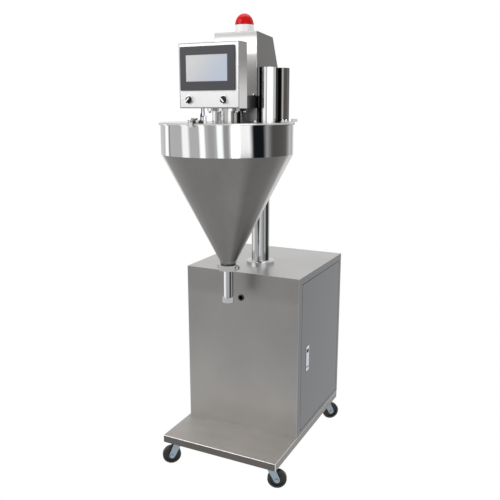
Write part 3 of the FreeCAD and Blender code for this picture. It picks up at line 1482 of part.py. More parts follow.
def make_lid_fittings():
    """Level sensor with its probe, and the interlock switch beside the front latch."""
    along = auger_y - S.sensor_y
    flange = S.sensor_radius * 1.35
    probe = S.sensor_radius / 2 - S.seat_gap
    depth = S.rim_thick * 4
    sensor = fuse(
        rod(flange, (S.sensor_x, along, lid_top), S.base_thick),
        rod(S.sensor_radius, (S.sensor_x, along, lid_top), S.sensor_height),
        rod(probe, (S.sensor_x, along, lid_top - depth), depth + 1))
    node(sensor, "level_sensor")
    half = S.sensor_radius * 0.7
    top = lid_top + S.latch_rise * 1.5
    front = auger_y - S.switch_y
    switch = block((S.switch_x - half, front - half, lid_top),
                   (S.switch_x + half, front + half, top))
    node(switch, "interlock_switch")


def cord(points, radius, label):
    """Round cable along straight runs joined by tangent arcs."""
    corners = [vector(point) for point in points]
    edges = []
    start = corners[0]
    radii = []
    for before, corner, after in zip(corners, corners[1:], corners[2:]):
        back = before - corner
        ahead = after - corner
        half_turn = (math.pi - back.getAngle(ahead)) / 2
        bend = 0.45 * min(back.Length, ahead.Length) / math.tan(half_turn)
        trim = bend * math.tan(half_turn)
        entry = corner + back.normalize() * trim
        leave = corner + ahead.normalize() * trim
        middle = (entry + leave) * 0.5 - corner
        reach = bend / math.cos(half_turn) - bend
        edges.append(Part.LineSegment(start, entry).toShape())
        edges.append(Part.Arc(entry, corner + middle.normalize() * reach, leave).toShape())
        radii.append(bend)
        start = leave
    edges.append(Part.LineSegment(start, corners[-1]).toShape())
    path = Part.Wire(edges)
    ring = Part.Circle(corners[0], corners[1] - corners[0], radius.value).toShape()
    tube = path.makePipeShell([Part.Wire([ring])], True, False)
    cable = doc.addObject("Part::Feature", "Cable")
    cable.Shape = tube
    expected = math.pi * radius.value ** 2 * path.Length
    print(label, "radii", [round(bend, 1) for bend in radii],
          "volume share", round(tube.Volume / expected, 4))
    node(cable, label)


def make_cables():
    """Sensor and interlock cables from the panel box down to the lid."""
    box_low = S.panel_box_level
    sensor_y = auger_y - S.sensor_y
    sensor_top = lid_top + S.sensor_height
    cord([
        (S.sensor_x - 2.5, sensor_y + 3, box_low),
        (S.sensor_x - 2.5, sensor_y + 3, box_low - 8.2),
        (S.sensor_x, sensor_y, sensor_top + 8.2),
        (S.sensor_x, sensor_y, sensor_top)], S.cable_radius, "sensor_cable")
    switch_y = auger_y - S.switch_y
    switch_top = lid_top + S.latch_rise * 1.5
    cord([
        (S.switch_x - 62, switch_y + 112, box_low),
        (S.switch_x - 62, switch_y + 112, box_low - 14),
        (S.switch_x - 59, switch_y + 97, switch_top + 13.7),
        (S.switch_x - 39, switch_y + 68, switch_top + 8.7),
        (S.switch_x - 19, switch_y + 38, switch_top + 18.7),
        (S.switch_x - 5.5, switch_y + 12, switch_top + 24),
        (S.switch_x, switch_y, switch_top + 14),
        (S.switch_x, switch_y, switch_top)], S.cable_radius, "interlock_cable")


# ---- The machine ----------------------------------------------------------------------

make_base_tray()
make_base_frame()
make_caster_plates()
for name, (side, end, direction) in CASTERS.items():
    make_caster_fork(name, side, end, direction)
    make_caster_wheel(name, side, end, direction)
make_cabinet_body()
make_cabinet_top()
make_rear_panel()
make_cable_glands()
make_control_gear()
make_side_door()
make_door_hinges()
make_door_handle()
make_door_paddle()
make_column()
make_head_frame()
make_motor_housing()
make_transmission_cover()
make_acorn_nuts()
make_motors()
motor_pulley(S.upper_belt, -S.motor_offset, "servo_pulley")
motor_pulley(S.lower_belt, S.motor_offset, "stirrer_pulley")
make_drive_belts()
make_spindle_sleeve()
make_auger()
make_agitator()
make_lid()
make_lid_tubes()
make_hopper()
make_ferrule_clamp()
make_nozzle()
make_latch_bases()
for name, degrees in LATCHES.items():
    make_latch_lever(name, degrees)
make_panel_box()
make_bezel()
make_knob("left_selector_knob", S.left_knob, 45)
make_knob("right_selector_knob", S.right_knob, -45)
make_beacon()
make_lid_fittings()
make_cables()
doc.recompute()


def check_document():
    """Stop before writing if any feature failed or did nothing."""
    problems = []
    for obj in doc.Objects:
        if "Invalid" in obj.State or "Error" in obj.State:
            problems.append(f"{obj.Name} ({obj.TypeId}) is {obj.State}")
            continue
        if obj.TypeId != "PartDesign::Pocket" or not obj.BaseFeature:
            continue
        if obj.Shape.isNull() or obj.BaseFeature.Shape.isNull():
            problems.append(f"{obj.Name} in {obj.getParent().Label} has no shape")
        elif obj.Shape.Volume > obj.BaseFeature.Shape.Volume - 0.001:
            problems.append(f"{obj.Name} in {obj.getParent().Label} cuts nothing")
    for obj in NODES:
        if obj.Shape.isNull() or not obj.Shape.isValid() or not obj.Shape.Solids:
            problems.append(f"{obj.Label} has no valid shape")
    if problems:
        raise RuntimeError("\n".join(problems))


check_document()
os.makedirs("parts", exist_ok=True)
for obj in NODES:
    obj.Shape.exportStep(f"parts/{obj.Label}.step")
print(len(NODES), "nodes written")
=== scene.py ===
import math

import bmesh
import bpy
from mathutils import Matrix, Vector


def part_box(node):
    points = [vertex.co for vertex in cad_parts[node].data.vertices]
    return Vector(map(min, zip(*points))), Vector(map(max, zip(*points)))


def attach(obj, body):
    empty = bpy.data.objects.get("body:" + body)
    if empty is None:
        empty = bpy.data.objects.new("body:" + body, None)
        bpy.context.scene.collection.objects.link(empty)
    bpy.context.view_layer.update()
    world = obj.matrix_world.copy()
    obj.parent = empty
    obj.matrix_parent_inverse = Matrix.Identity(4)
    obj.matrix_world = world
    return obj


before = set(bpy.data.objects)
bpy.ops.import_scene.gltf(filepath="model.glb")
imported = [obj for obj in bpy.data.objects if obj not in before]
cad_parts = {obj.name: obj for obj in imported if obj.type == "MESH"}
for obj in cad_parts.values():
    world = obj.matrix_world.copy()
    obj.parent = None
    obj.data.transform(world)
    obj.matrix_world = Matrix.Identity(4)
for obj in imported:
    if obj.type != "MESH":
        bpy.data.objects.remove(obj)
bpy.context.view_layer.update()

# Auger powder filler.  Metres, in the machine's own frame: +Z up, front towards -Y.

AUGER_AXIS = (0, -0.173)
COLUMN_AXIS = (0, 0.113)
BEACON_AXIS = (0, -0.033)
INLET_AXIS = (0.122, -0.097)
VENT_AXIS = (0.1445, -0.0305)
CAMERA_PLACE = (1.107, -2.234, 1.431)
CAMERA_TILT = 77.36     # degrees up from looking straight down
CAMERA_TURN = 26.22     # degrees from the front, towards the door's side
LENS_LENGTH = 45.54
BAND_FOOT = 1.2700      # where the hopper's polished band meets its cone


# ---- Camera ---------------------------------------------------------------------

def add_camera():
    lens = bpy.data.cameras.new("camera")
    lens.sensor_width = 36
    lens.lens = LENS_LENGTH
    camera = bpy.data.objects.new("camera", lens)
    camera.location = CAMERA_PLACE
    camera.rotation_euler = (math.radians(CAMERA_TILT), 0, math.radians(CAMERA_TURN))
    bpy.context.collection.objects.link(camera)
    bpy.context.scene.camera = camera


# ---- Shader maths ------------------------------------------------------------------

class Value:
    """A shader socket that takes part in Python sums."""

    def __init__(self, shader, socket):
        self.shader = shader
        self.socket = socket

    def _math(self, operation, first, second):
        return self.shader.node("ShaderNodeMath", {"operation": operation},
                                {0: first, 1: second})

    def __add__(self, other):
        return self._math("ADD", self, other)

    def __radd__(self, other):
        return self._math("ADD", other, self)

    def __sub__(self, other):
        return self._math("SUBTRACT", self, other)

    def __rsub__(self, other):
        return self._math("SUBTRACT", other, self)

    def __mul__(self, other):
        return self._math("MULTIPLY", self, other)

    def __rmul__(self, other):
        return self._math("MULTIPLY", other, self)

    def __truediv__(self, other):
        return self._math("DIVIDE", self, other)

    def __neg__(self):
        return self._math("MULTIPLY", self, -1)

    def most(self, other):
        return self._math("MAXIMUM", self, other)

    def size(self):
        return self.shader.node("ShaderNodeMath", {"operation": "ABSOLUTE"}, {0: self})

    def rise(self, start, end):
        """0 below start, 1 above end, smooth between."""
        return self.shader.node(
            "ShaderNodeMapRange", {"interpolation_type": "SMOOTHSTEP", "clamp": True},
            {"Value": self, "From Min": start, "From Max": end})

    def band(self, middle, width):
        """1 at the middle, falling to 0 a width away on each side."""
        return 1 - (self - middle).size().rise(width * 0.4, width)


class Shader:
    """A material's node tree, with the few nodes that this machine's finishes need."""

    def __init__(self, name, **fixed):
        self.material = bpy.data.materials.new(name)
        self.material.use_nodes = True
        self.tree = self.material.node_tree
        self.surface = self.tree.nodes["Principled BSDF"]
        for socket, number in fixed.items():
            self.surface.inputs[socket.replace("_", " ")].default_value = number
        self.place = self.output("ShaderNodeTexCoord", "Object")
        self.facing = self.output("ShaderNodeTexCoord", "Normal")

    def node(self, kind, settings, inputs, output=0):
        node = self.tree.nodes.new(kind)
        for name, setting in settings.items():
            setattr(node, name, setting)
        for name, item in inputs.items():
            if isinstance(item, Value):
                self.tree.links.new(item.socket, node.inputs[name])
            else:
                node.inputs[name].default_value = item
        return Value(self, node.outputs[output])

    def output(self, kind, name):
        return Value(self, self.tree.nodes.new(kind).outputs[name])

    def axis(self, vector, letter):
        """One coordinate of a vector socket."""
        node = self.tree.nodes.new("ShaderNodeSeparateXYZ")
        self.tree.links.new(vector.socket, node.inputs[0])
        return Value(self, node.outputs[letter])

    def stretched(self, scale, offset=(0, 0, 0)):
        return self.node("ShaderNodeMapping", {},
                         {"Vector": self.place, "Scale": scale, "Location": offset})

    def grain(self, scale, stretch=(1, 1, 1), detail=2.0, offset=(0, 0, 0)):
        """Noise between 0 and 1 in the piece's own place."""
        return self.node("ShaderNodeTexNoise", {},
                         {"Vector": self.stretched(stretch, offset), "Scale": scale,
                          "Detail": detail, "Roughness": 0.55})

    def mix(self, kind, share, first, second):
        """Two colours through a Mix node of the given blend type."""
        node = self.tree.nodes.new("ShaderNodeMix")
        node.data_type = "RGBA"
        node.blend_type = kind
        for index, item in ((0, share), (6, first), (7, second)):
            if isinstance(item, Value):
                self.tree.links.new(item.socket, node.inputs[index])
            elif index == 0:
                node.inputs[index].default_value = item
            else:
                node.inputs[index].default_value = (*item, 1)
        return Value(self, node.outputs[2])

    def blend(self, share, first, second):
        """Mix two colours by a share between 0 and 1."""
        return self.mix("MIX", share, first, second)

    def lit(self, colour, factor):
        """A colour made lighter or darker by a factor."""
        level = self.node("ShaderNodeCombineColor", {}, {0: factor, 1: factor, 2: factor})
        return self.mix("MULTIPLY", 1.0, colour, level)

    def set(self, socket, item):
        if isinstance(item, Value):
            self.tree.links.new(item.socket, self.surface.inputs[socket])
        elif isinstance(item, tuple):
            self.surface.inputs[socket].default_value = (*item, 1)
        else:
            self.surface.inputs[socket].default_value = item

    def relief(self, height, strength=0.2, depth=0.0005):
        self.set("Normal", self.node("ShaderNodeBump", {},
                                     {"Height": height, "Strength": strength,
                                      "Distance": depth}))


def grey(level, warmth=0.0):
    """A screen level of 0 to 255 as a colour, a little warm or cool."""
    def linear(part):
        part = max(0.0, min(255.0, part)) / 255
        return part / 12.92 if part <= 0.04045 else ((part + 0.055) / 1.055) ** 2.4
    return linear(level + warmth), linear(level), linear(level - warmth)


def tint(red, green, blue):
    """Three screen levels of 0 to 255 as a colour."""
    return grey(red)[0], grey(green)[1], grey(blue)[2]


def dress(node, shader):
    """Give a node of the machine its finish."""
    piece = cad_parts[node]
    piece.data.materials.clear()
    piece.data.materials.append(shader.material)


# ---- Finishes ------------------------------------------------------------------------

def brushed_sheet(name, front, side, top, along=(1, 1, 0.04), metal=0.85, rough=0.34):
    """Brushed stainless sheet: painted light and shade as a lighter or darker tone for each
    way that it faces, with clouds and fine lines.
    """
    shader = Shader(name, Metallic=metal)
    # Painted light and shade: the sides and the top get their own lit or shaded tone.
    across = shader.axis(shader.facing, "X").size().rise(0.5, 0.8)
    painted_top_light_mask = shader.axis(shader.facing, "Z").rise(0.5, 0.8)
    tone = shader.blend(across, front, side)
    tone = shader.blend(painted_top_light_mask, tone, top)
    lines = shader.grain(420, along, 3)
    clouds = shader.grain(5.5, (1, 1, 0.6), 2)
    shader.tone = shader.lit(tone, 0.82 + lines * 0.12 + clouds * 0.24)
    shader.set("Base Color", shader.tone)
    shader.set("Roughness", rough - 0.06 + lines * 0.06 + clouds * 0.08)
    shader.relief(lines, 0.12, 0.0002)
    return shader


def cabinet_finish():
    # Front, side and top tones are painted light and shade.
    shader = brushed_sheet("cabinet_sheet", grey(136, 2), grey(104, -3), grey(172, 1))
    level = shader.axis(shader.place, "Z")
    across = shader.axis(shader.place, "X")
    facing = (-shader.axis(shader.facing, "Y")).rise(0.4, 0.8)
    sheen = shader.grain(2.2, (1, 1, 0.5), 1, (0.4, 0, 0.2))
    # Painted light on the front: lighter towards the floor, with a soft painted sheen and a
    # painted shade band round 0.745 m.
    bright = 1 + facing * ((0.62 - level).rise(0.0, 0.42) * 0.3 + sheen * 0.24 - 0.16)
    shade = facing * level.band(0.745, 0.07) * 0.1
    tone = shader.lit(shader.tone, bright - shade)
    # Painted highlight along the front's bent side edges.
    painted_edge_lighting = across.size().rise(0.2474, 0.2496) * facing
    shader.set("Base Color", shader.blend(painted_edge_lighting * 0.5, tone, grey(205, 1)))
    return shader


def tray_finish():
    # Front, side and top tones are painted light and shade.
    shader = brushed_sheet("tray_sheet", grey(92, 3), grey(120, 2), grey(160, 3), (0.04, 1, 1))
    level = shader.axis(shader.place, "Z")
    # Painted highlight along the top edge and round the front corners.
    edge = level.rise(0.1268, 0.1282) * (1 - level.rise(0.1294, 0.1299))
    corner = shader.axis(shader.place, "X").size().rise(0.2465, 0.2485)
    corner = corner * (-shader.axis(shader.place, "Y")).rise(0.2735, 0.2765)
    painted_edge_highlight = edge.most(corner)
    smudge = shader.grain(9, (0.5, 1.6, 1), 3)
    tone = shader.lit(shader.tone, 0.86 + smudge * 0.28)
    shader.set("Base Color", shader.blend(painted_edge_highlight * 0.75, tone, grey(214, 2)))
    return shader


def panel_finish():
    """Operator panel box: front painted bright, with painted shade along its folded edges,
    side with a painted gradient running from grey to light.
    """
    # Front, side and top tones are painted light and shade.
    shader = brushed_sheet("panel_sheet", grey(208), grey(132, 1), grey(176), rough=0.34)
    low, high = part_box("operator_panel_box")
    across = shader.axis(shader.place, "X")
    level = shader.axis(shader.place, "Z")
    side = shader.axis(shader.facing, "X").size().rise(0.5, 0.8)
    # Painted light: the side turns lighter towards the bottom.
    painted_side_gradient = (1.62 - level).rise(0.02, 0.16)
    tone = shader.blend(side * painted_side_gradient, shader.tone, grey(206, 1))
    front = (-shader.axis(shader.facing, "Y")).rise(0.5, 0.8)
    # Painted shade along the folded edges of the front.
    painted_edge_lighting = across.rise(high[0] - 0.005, high[0] - 0.0025).most(1 - across.rise(
        low[0] + 0.0025, low[0] + 0.005))
    painted_edge_lighting = painted_edge_lighting.most(level.rise(high[2] - 0.005, high[2] - 0.0025))
    painted_edge_lighting = painted_edge_lighting.most(1 - level.rise(low[2] + 0.0025, low[2] + 0.005))
    shader.set("Base Color", shader.blend(front * painted_edge_lighting * 0.9, tone, grey(104)))
    return shader


def housing_finish():
    # Front, side and top tones are painted light and shade.
    shader = brushed_sheet("housing_sheet", grey(228), grey(100, 1), grey(170, 1), rough=0.36)
    level = shader.axis(shader.place, "Z")
    facing = (-shader.axis(shader.facing, "Y")).rise(0.5, 0.8)
    # Painted shade: the front is darker below 1.628 m, under the bright top; a darker band
    # runs along the top lip.
    low = facing * (1.628 - level).rise(0.0, 0.012)
    tone = shader.blend(low, shader.tone, grey(176, 1))
    lip = facing * level.rise(1.664, 1.690)
    shader.set("Base Color", shader.blend(lip * 0.8, tone, grey(120, 2)))
    return shader


def around_axis(shader, centre):
    """Turn round an upright axis, -1 to 1, nought towards the operator's side."""
    across = shader.axis(shader.place, "X") - centre[0]
    along = shader.axis(shader.place, "Y") - centre[1]
    return shader.node("ShaderNodeMath", {"operation": "ARCTAN2"},
                       {0: across, 1: -along}) / math.pi


def polished(name, centre, painted_reflections, base, rough=0.09):
    """Mirror-polished round steel with painted reflections: soft upright light and dark bands
    at set turns.
    """
    shader = Shader(name, Metallic=1.0)
    turn = around_axis(shader, centre)
    wander = (shader.grain(6, (1, 1, 0.5), 1) - 0.5) * 0.03
    tone = base
    # Each painted reflection is a light or dark upright band at its turn.
    for middle, width, colour, share in painted_reflections:
        tone = shader.blend((turn + wander).band(middle, width) * share, tone, colour)
    shader.tone = tone
    shader.set("Base Color", tone)
    haze = shader.grain(14, (1, 1, 0.15), 2)
    shader.set("Roughness", rough + haze * 0.05)
    return shader


def hopper_finish():
    """Polished band with painted reflections over a brushed cone with painted reflection
    bands, with the seam between them.
    """
    # Painted reflections on the polished band.
    painted_reflections = [(-0.27, 0.03, grey(116, -3), 0.9), (-0.173, 0.024, grey(255), 1.0),
               (-0.145, 0.008, grey(120), 0.9), (-0.034, 0.026, grey(250), 0.9),
               (0.047, 0.018, grey(255), 1.0), (0.088, 0.020, grey(150), 0.8),
               (0.1265, 0.018, grey(255, -3), 1.0), (0.154, 0.014, grey(140), 0.9),
               (0.1906, 0.026, grey(255), 1.0), (0.233, 0.026, grey(156), 0.9),
               (0.297, 0.050, grey(22, -3), 1.0), (0.420, 0.105, grey(72, 2), 1.0),
               (0.545, 0.030, grey(126), 0.9), (0.596, 0.020, grey(224), 0.9),
               (-0.5, 0.08, grey(140), 0.7), (-0.75, 0.1, grey(90), 0.8),
               (0.8, 0.12, grey(120), 0.8)]
    shader = polished("hopper_steel", AUGER_AXIS, painted_reflections, grey(172), 0.08)
    level = shader.axis(shader.place, "Z")
    band = level.rise(BAND_FOOT - 0.0015, BAND_FOOT)
    turn = around_axis(shader, AUGER_AXIS)
    lines = shader.grain(300, (1, 1, 0.03), 3)
    clouds = shader.grain(6, (1, 1, 1), 3)
    scuffs = shader.grain(28, (1.4, 0.7, 2.2), 2)
    # Painted reflections on the brushed cone: light and dark bands at set turns.
    cone = shader.blend(turn.band(-0.30, 0.10) * 0.85, grey(122, 1), grey(226, 1))
    cone = shader.blend(turn.band(0.02, 0.16) * 0.35, cone, grey(108, 1))
    cone = shader.blend(turn.band(0.34, 0.13) * 0.6, cone, grey(84, 1))
    cone = shader.blend(turn.band(0.56, 0.09) * 0.85, cone, grey(214, 1))
    cone = shader.lit(cone, 0.72 + lines * 0.16 + clouds * 0.3 + scuffs * 0.1)
    shader.set("Base Color", shader.blend(band, cone, shader.tone))
    shader.set("Roughness", 0.36 - band * 0.27 + clouds * 0.06 * (1 - band))
    shader.relief(lines * (1 - band), 0.1, 0.0002)
    return shader


# Painted reflections on polished round steel, each as turn, width, colour and share.
TUBE_REFLECTIONS = [(-0.28, 0.11, grey(6), 1.0), (-0.09, 0.10, grey(8), 1.0),
                (-0.19, 0.02, grey(70), 0.8), (0.06, 0.05, grey(255), 0.9),
                (0.16, 0.05, grey(196, 1), 0.8), (0.30, 0.09, grey(255), 1.0),
                (0.45, 0.04, grey(190), 0.8), (0.56, 0.05, grey(90), 0.9),
                (0.75, 0.12, grey(120), 0.7)]
VENT_REFLECTIONS = [(-0.12, 0.10, grey(180), 0.9), (0.12, 0.11, grey(5), 1.0),
                (0.32, 0.12, grey(76, 3), 1.0), (0.52, 0.13, grey(68, 3), 1.0),
                (0.42, 0.02, grey(108, 3), 0.7), (0.75, 0.12, grey(130), 0.8)]
COLUMN_REFLECTIONS = [(-0.38, 0.06, grey(216), 0.9), (-0.26, 0.03, grey(120), 0.9),
                  (-0.13, 0.05, grey(222), 0.95), (0.00, 0.03, grey(150), 0.7),
                  (0.12, 0.05, grey(200, -4), 0.9), (0.24, 0.04, grey(120, -3), 0.9),
                  (0.40, 0.10, grey(46), 1.0), (0.70, 0.12, grey(120), 0.7)]
SLEEVE_REFLECTIONS = [(-0.28, 0.025, grey(80), 0.9), (-0.18, 0.06, grey(240), 1.0),
                  (-0.05, 0.05, grey(120, 2), 0.9), (0.05, 0.03, grey(236), 0.9),
                  (0.14, 0.04, grey(180, 4), 0.9), (0.27, 0.05, grey(60, 3), 0.9),
                  (0.42, 0.07, grey(16), 1.0), (0.70, 0.12, grey(110), 0.7)]
NOZZLE_REFLECTIONS = [(-0.38, 0.06, grey(190), 0.9), (-0.10, 0.10, grey(244), 1.0),
                  (0.12, 0.04, grey(150, -3), 0.9), (0.28, 0.10, grey(66, -3), 1.0),
                  (0.50, 0.05, grey(150), 0.9), (0.75, 0.12, grey(120), 0.7)]


def machined(name, colour, rough=0.28, metal=1.0):
    shader = Shader(name, Metallic=metal)
    fine = shader.grain(260, (1, 1, 1), 2)
    soft = shader.grain(22, (1, 1, 1), 2)
    shader.tone = shader.lit(colour, 0.84 + fine * 0.12 + soft * 0.18)
    shader.set("Base Color", shader.tone)
    shader.set("Roughness", rough - 0.04 + soft * 0.1)
    shader.relief(fine, 0.1, 0.0002)
    return shader


def moulded(name, colour, rough=0.45, coat=0.0):
    """Moulded plastic or rubber with a fine, even texture."""
    shader = Shader(name, Metallic=0.0, Coat_Weight=coat)
    fine = shader.grain(700, (1, 1, 1), 1)
    soft = shader.grain(16, (1, 1, 1), 2)
    shader.tone = shader.lit(colour, 0.9 + fine * 0.08 + soft * 0.1)
    shader.set("Base Color", shader.tone)
    shader.set("Roughness", rough - 0.03 + soft * 0.08)
    shader.relief(fine, 0.15, 0.0002)
    return shader


def screen_finish():
    """Switched-off touch screen with a painted reflection of a pale room."""
    shader = Shader("touch_screen_glass", Metallic=0.0, Roughness=0.12, Coat_Weight=0.4)
    across = shader.axis(shader.place, "X")
    level = shader.axis(shader.place, "Z")
    # Painted reflection: pale grey turning bluish across the glass.
    painted_reflection_slant = (across * 0.7 - (level - 1.5635) * 0.5).rise(-0.07, 0.06)
    tone = shader.blend(painted_reflection_slant, grey(196), tint(174, 182, 196))
    soft = shader.grain(9, (1, 1, 1), 1)
    shader.set("Base Color", shader.lit(tone, 0.96 + soft * 0.07))
    shader.set("Roughness", 0.1 + soft * 0.06)
    return shader


def dome_finish():
    """Red lens with ribs inside, the light that they catch painted into its colour, and a
    painted lighter top.
    """
    shader = Shader("beacon_red", Metallic=0.0, Coat_Weight=0.05, Specular_IOR_Level=0.12)
    turn = around_axis(shader, BEACON_AXIS)
    level = shader.axis(shader.place, "Z")
    ribs = shader.node("ShaderNodeMath", {"operation": "SINE"}, {0: turn * (math.pi * 24)})
    # Painted light: the top of the dome is a lighter red.
    glow = level.rise(1.735, 1.765)
    tone = shader.blend(glow * 0.35, (0.56, 0.0, 0.0008), (0.72, 0.001, 0.002))
    shader.set("Base Color", shader.lit(tone, 0.93 + ribs * 0.05))
    shader.set("Roughness", 0.16 + shader.grain(30, (1, 1, 1), 1) * 0.08)
    shader.relief(ribs, 0.06, 0.0004)
    return shader


def wheel_finish():
    """Black tread rubber with patches of grey dust."""
    shader = Shader("caster_rubber", Metallic=0.0)
    fine = shader.grain(400, (1, 1, 1), 2)
    dust = shader.grain(25, (1, 1, 1), 3)
    shader.set("Base Color", shader.blend(dust.rise(0.52, 0.8) * 0.35, grey(9), grey(46, 2)))
    shader.set("Roughness", 0.32 + dust * 0.25)
    shader.relief(fine, 0.2, 0.0003)
    return shader


# ---- New pieces ---------------------------------------------------------------------

def add_piece(name, mesh_maker, shader, body="machine"):
    """Build a piece with a bmesh, give it its finish, and let it ride on a body."""
    shape = bmesh.new()
    mesh_maker(shape)
    bmesh.ops.recalc_face_normals(shape, faces=shape.faces)
    mesh = bpy.data.meshes.new(name)
    shape.to_mesh(mesh)
    shape.free()
    piece = bpy.data.objects.new(name, mesh)
    bpy.context.collection.objects.link(piece)
    mesh.materials.append(shader.material)
    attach(piece, body)
    return piece


def bevel_all(shape, edges, width, segments=2):
    bmesh.ops.bevel(shape, geom=edges, offset=width, offset_type="OFFSET",
                    affect="EDGES", segments=segments, profile=0.5, material=-1)


def slab(shape, low, high, rim=0.0, segments=2):
    """A box between two corners with rounded edges."""
    low, high = Vector(low), Vector(high)
    made = bmesh.ops.create_cube(shape, size=1.0)
    bmesh.ops.scale(shape, vec=high - low, verts=made["verts"])
    bmesh.ops.translate(shape, vec=(low + high) / 2, verts=made["verts"])
    if rim:
        edges = list({e for v in made["verts"] for e in v.link_edges})
        bevel_all(shape, edges, rim, segments)
    return made["verts"]


def pan_screw(shape, centre, radius, facing, height=None):
    """Low domed screw head."""
    height = height or radius * 0.55
    turn = facing.to_track_quat("Z", "Y").to_matrix().to_4x4()
    made = bmesh.ops.create_uvsphere(
        shape, u_segments=20, v_segments=10, radius=radius,
        matrix=Matrix.Translation(centre) @ turn @ Matrix.Diagonal((1, 1, height / radius, 1)))
    parts = {part for v in made["verts"] for part in (v, *v.link_edges, *v.link_faces)}
    plane = bmesh.ops.bisect_plane(shape, geom=list(parts), plane_co=centre, plane_no=facing,
                                   clear_inner=True)
    rim = [g for g in plane["geom_cut"] if isinstance(g, bmesh.types.BMEdge)]
    bmesh.ops.holes_fill(shape, edges=rim)


def add_rear_screws(shader):
    """Screws of the rear panel."""
    def build(shape):
        low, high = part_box("cabinet_rear_panel")
        back = high[1]
        for across in (low[0] + 0.010, 0.0, high[0] - 0.010):
            for share in (0.02, 0.35, 0.65, 0.98):
                level = low[2] + (high[2] - low[2]) * share
                pan_screw(shape, Vector((across, back, level)), 0.0042, Vector((0, 1, 0)))
    add_piece("rear_panel_screws", build, shader)


def add_knob_marks(shader):
    """White pointer lines on the grips of both selector knobs."""
    for name, body, lean in (("left_selector_knob", "left_knob", 45),
                             ("right_selector_knob", "right_knob", -45)):
        low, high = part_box(name)
        centre = Vector(((low[0] + high[0]) / 2, low[1], (low[2] + high[2]) / 2))

        def build(shape, centre=centre, lean=lean):
            verts = slab(shape, (-0.0026, -0.0006, -0.0104), (0.0026, 0.0003, 0.0104), 0.0004)
            every = list({v for v in shape.verts})
            bmesh.ops.rotate(shape, verts=every, cent=(0, 0, 0),
                             matrix=Matrix.Rotation(math.radians(lean), 3, "Y"))
            bmesh.ops.translate(shape, vec=centre, verts=every)
        add_piece(f"{name}_pointer", build, shader, body)


def add_knob_rings(shader):
    """Bright rings round the selector knobs, on the panel's face."""
    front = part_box("operator_panel_box")[0][1]
    def build(shape):
        for name in ("left_selector_knob", "right_selector_knob"):
            low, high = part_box(name)
            centre = Vector(((low[0] + high[0]) / 2, front, (low[2] + high[2]) / 2))
            start = centre + Vector((0.0130, 0, 0))
            made = bmesh.ops.create_circle(
                shape, cap_ends=False, segments=12, radius=0.0013,
                matrix=Matrix.Translation(start) @ Matrix.Rotation(0.0, 4, "Z"))
            edges = list({e for v in made["verts"] for e in v.link_edges})
            bmesh.ops.spin(shape, geom=made["verts"] + edges, cent=centre, axis=(0, 1, 0),
                           angle=math.tau, steps=40, use_merge=True, use_duplicate=False)
    add_piece("selector_rings", build, shader)


# ---- Stage -----------------------------------------------------------------------------

def add_floor():
    bpy.ops.mesh.primitive_plane_add(size=40, location=(0, 0, 0))
    floor = bpy.context.active_object
    floor.name = "floor"
    shader = Shader("pale_floor", Metallic=0.0, Roughness=0.85)
    shader.set("Base Color", (0.9, 0.9, 0.9))
    tree = shader.tree
    path = tree.nodes.new("ShaderNodeLightPath")
    glow = tree.nodes.new("ShaderNodeEmission")
    glow.inputs["Strength"].default_value = 1.0
    seen = Value(shader, path.outputs["Is Camera Ray"])
    mirrored = Value(shader, path.outputs["Is Glossy Ray"])
    through = Value(shader, path.outputs["Is Transmission Ray"])
    mix = tree.nodes.new("ShaderNodeMixShader")
    share = seen.most(mirrored).most(through)
    tree.links.new(share.socket, mix.inputs[0])
    tree.links.new(shader.surface.outputs[0], mix.inputs[1])
    tree.links.new(glow.outputs[0], mix.inputs[2])
    out = next(n for n in tree.nodes if n.type == "OUTPUT_MATERIAL")
    tree.links.new(mix.outputs[0], out.inputs["Surface"])
    floor.data.materials.append(shader.material)


def add_world():
    world = bpy.data.worlds.new("studio")
    bpy.context.scene.world = world
    world.use_nodes = True
    tree = world.node_tree
    sky = tree.nodes["Background"]
    sky.inputs["Color"].default_value = (1, 1, 1, 1)
    path = tree.nodes.new("ShaderNodeLightPath")
    most = tree.nodes.new("ShaderNodeMath")
    most.operation = "MAXIMUM"
    tree.links.new(path.outputs["Is Camera Ray"], most.inputs[0])
    tree.links.new(path.outputs["Is Glossy Ray"], most.inputs[1])
    also = tree.nodes.new("ShaderNodeMath")
    also.operation = "MAXIMUM"
    tree.links.new(most.outputs[0], also.inputs[0])
    tree.links.new(path.outputs["Is Transmission Ray"], also.inputs[1])
    level = tree.nodes.new("ShaderNodeMapRange")
    level.inputs["To Min"].default_value = 0.55
    level.inputs["To Max"].default_value = 1.0
    tree.links.new(also.outputs[0], level.inputs["Value"])
    tree.links.new(level.outputs[0], sky.inputs["Strength"])


def add_lamp(name, at, aim, power, size):
    light = bpy.data.lights.new(name, "AREA")
    light.energy = power
    light.size = size
    lamp = bpy.data.objects.new(name, light)
    lamp.location = at
    lamp.rotation_euler = (Vector(aim) - Vector(at)).to_track_quat("-Z", "Y").to_euler()
    bpy.context.collection.objects.link(lamp)


# ---- The machine ----------------------------------------------------------------------

add_camera()

cabinet_sheet = cabinet_finish()
for name in ("cabinet_body", "cabinet_top_plate", "cabinet_rear_panel", "side_door"):
    dress(name, cabinet_sheet)
dress("base_tray", tray_finish())
dress("base_frame", moulded("frame_paint", grey(92), 0.5))
dress("motor_housing", housing_finish())
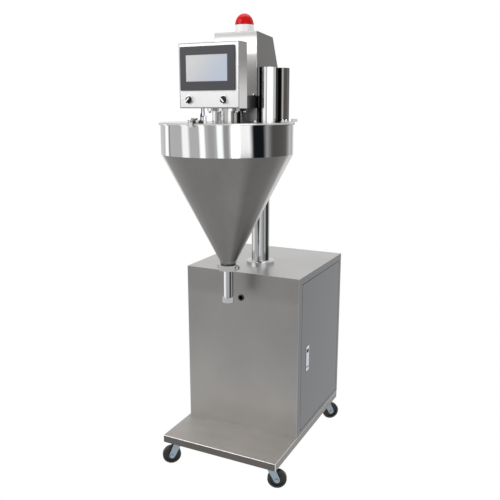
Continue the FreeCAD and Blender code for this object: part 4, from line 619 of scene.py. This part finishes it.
# Front, side and top tones of the cover are painted light and shade.
dress("transmission_cover", brushed_sheet("cover_sheet", grey(170), grey(120), grey(190)))
dress("operator_panel_box", panel_finish())
dress("hopper", hopper_finish())
dress("powder_inlet_tube", polished("inlet_tube_steel", INLET_AXIS, TUBE_REFLECTIONS, grey(176)))
dress("dust_vent_tube", polished("vent_tube_steel", VENT_AXIS, VENT_REFLECTIONS, grey(120)))
column_steel = polished("column_steel", COLUMN_AXIS, COLUMN_REFLECTIONS, grey(165))
dress("column_tube", column_steel)
dress("column_collar", machined("collar_steel", grey(190), 0.2))
dress("spindle_sleeve", polished("sleeve_steel", AUGER_AXIS, SLEEVE_REFLECTIONS, grey(165)))
dress("nozzle_tube", polished("nozzle_steel", AUGER_AXIS, NOZZLE_REFLECTIONS, grey(170)))
dress("nozzle_end_nut", machined("end_nut_steel", grey(186), 0.3))
dress("ferrule_clamp", machined("clamp_steel", grey(172), 0.22))
bright_steel = machined("bright_steel", grey(205), 0.18)
dress("acorn_nuts", bright_steel)
dress("latch_bases", machined("latch_steel", grey(150), 0.25))
for name in ("front", "rear_right", "rear_left"):
    dress(f"latch_lever_{name}", bright_steel)
dress("hopper_lid", machined("lid_steel", grey(190), 0.2))
dress("lid_gasket", moulded("gasket_silicone", grey(205), 0.5))
dress("level_sensor", machined("sensor_steel", grey(205), 0.2))
black_plastic = moulded("black_plastic", grey(18), 0.4)
for name in ("interlock_switch", "interlock_cable", "left_selector_knob",
             "right_selector_knob", "cable_glands"):
    dress(name, black_plastic)
dress("sensor_cable", moulded("blue_cable", (0.02, 0.05, 0.35), 0.45))
dress("screen_bezel", moulded("bezel_plastic", tint(48, 48, 52), 0.55))
dress("touch_screen", screen_finish())
dress("beacon_dome", dome_finish())
white_plastic = moulded("white_plastic", grey(236), 0.35, 0.3)
dress("beacon_base", white_plastic)
dress("beacon_reflector", bright_steel)
zinc = machined("zinc_plate", tint(146, 160, 171), 0.35, 0.8)
dress("caster_plates", zinc)
dress("door_hinge_pins", zinc)
rubber = wheel_finish()
for name in ("front_left", "front_right", "rear_left", "rear_right"):
    dress(f"caster_fork_{name}", zinc)
    dress(f"caster_wheel_{name}", rubber)
handle = machined("handle_chrome", tint(200, 200, 212), 0.22)
dress("door_handle_plate", handle)
dress("door_paddle", handle)
dress("head_frame", machined("frame_steel", grey(168), 0.3))
dress("auger_screw", machined("auger_steel", grey(190), 0.2))
dress("agitator_frame", machined("agitator_steel", grey(180), 0.25))
pulley = machined("pulley_aluminium", grey(196), 0.3)
for name in ("auger_pulley", "agitator_pulley", "servo_pulley", "stirrer_pulley"):
    dress(name, pulley)
dress("drive_belts", moulded("belt_rubber", grey(28), 0.6))
dress("servo_motor", moulded("motor_black", grey(30), 0.4))
dress("stirrer_gearmotor", moulded("motor_grey", grey(110), 0.4))
dress("control_gear", moulded("device_grey", grey(170), 0.45))

add_rear_screws(zinc)
add_knob_marks(white_plastic)
add_knob_rings(bright_steel)

add_floor()
add_world()
add_lamp("key", (-2.2, -3.2, 3.4), (0, 0, 0.9), 90, 2.4)
add_lamp("fill", (3.0, -2.4, 2.2), (0, 0, 0.8), 35, 2.6)
add_lamp("top", (0.0, 0.6, 4.2), (0, 0, 0.8), 50, 2.6)
bpy.context.scene.view_settings.view_transform = "Standard"
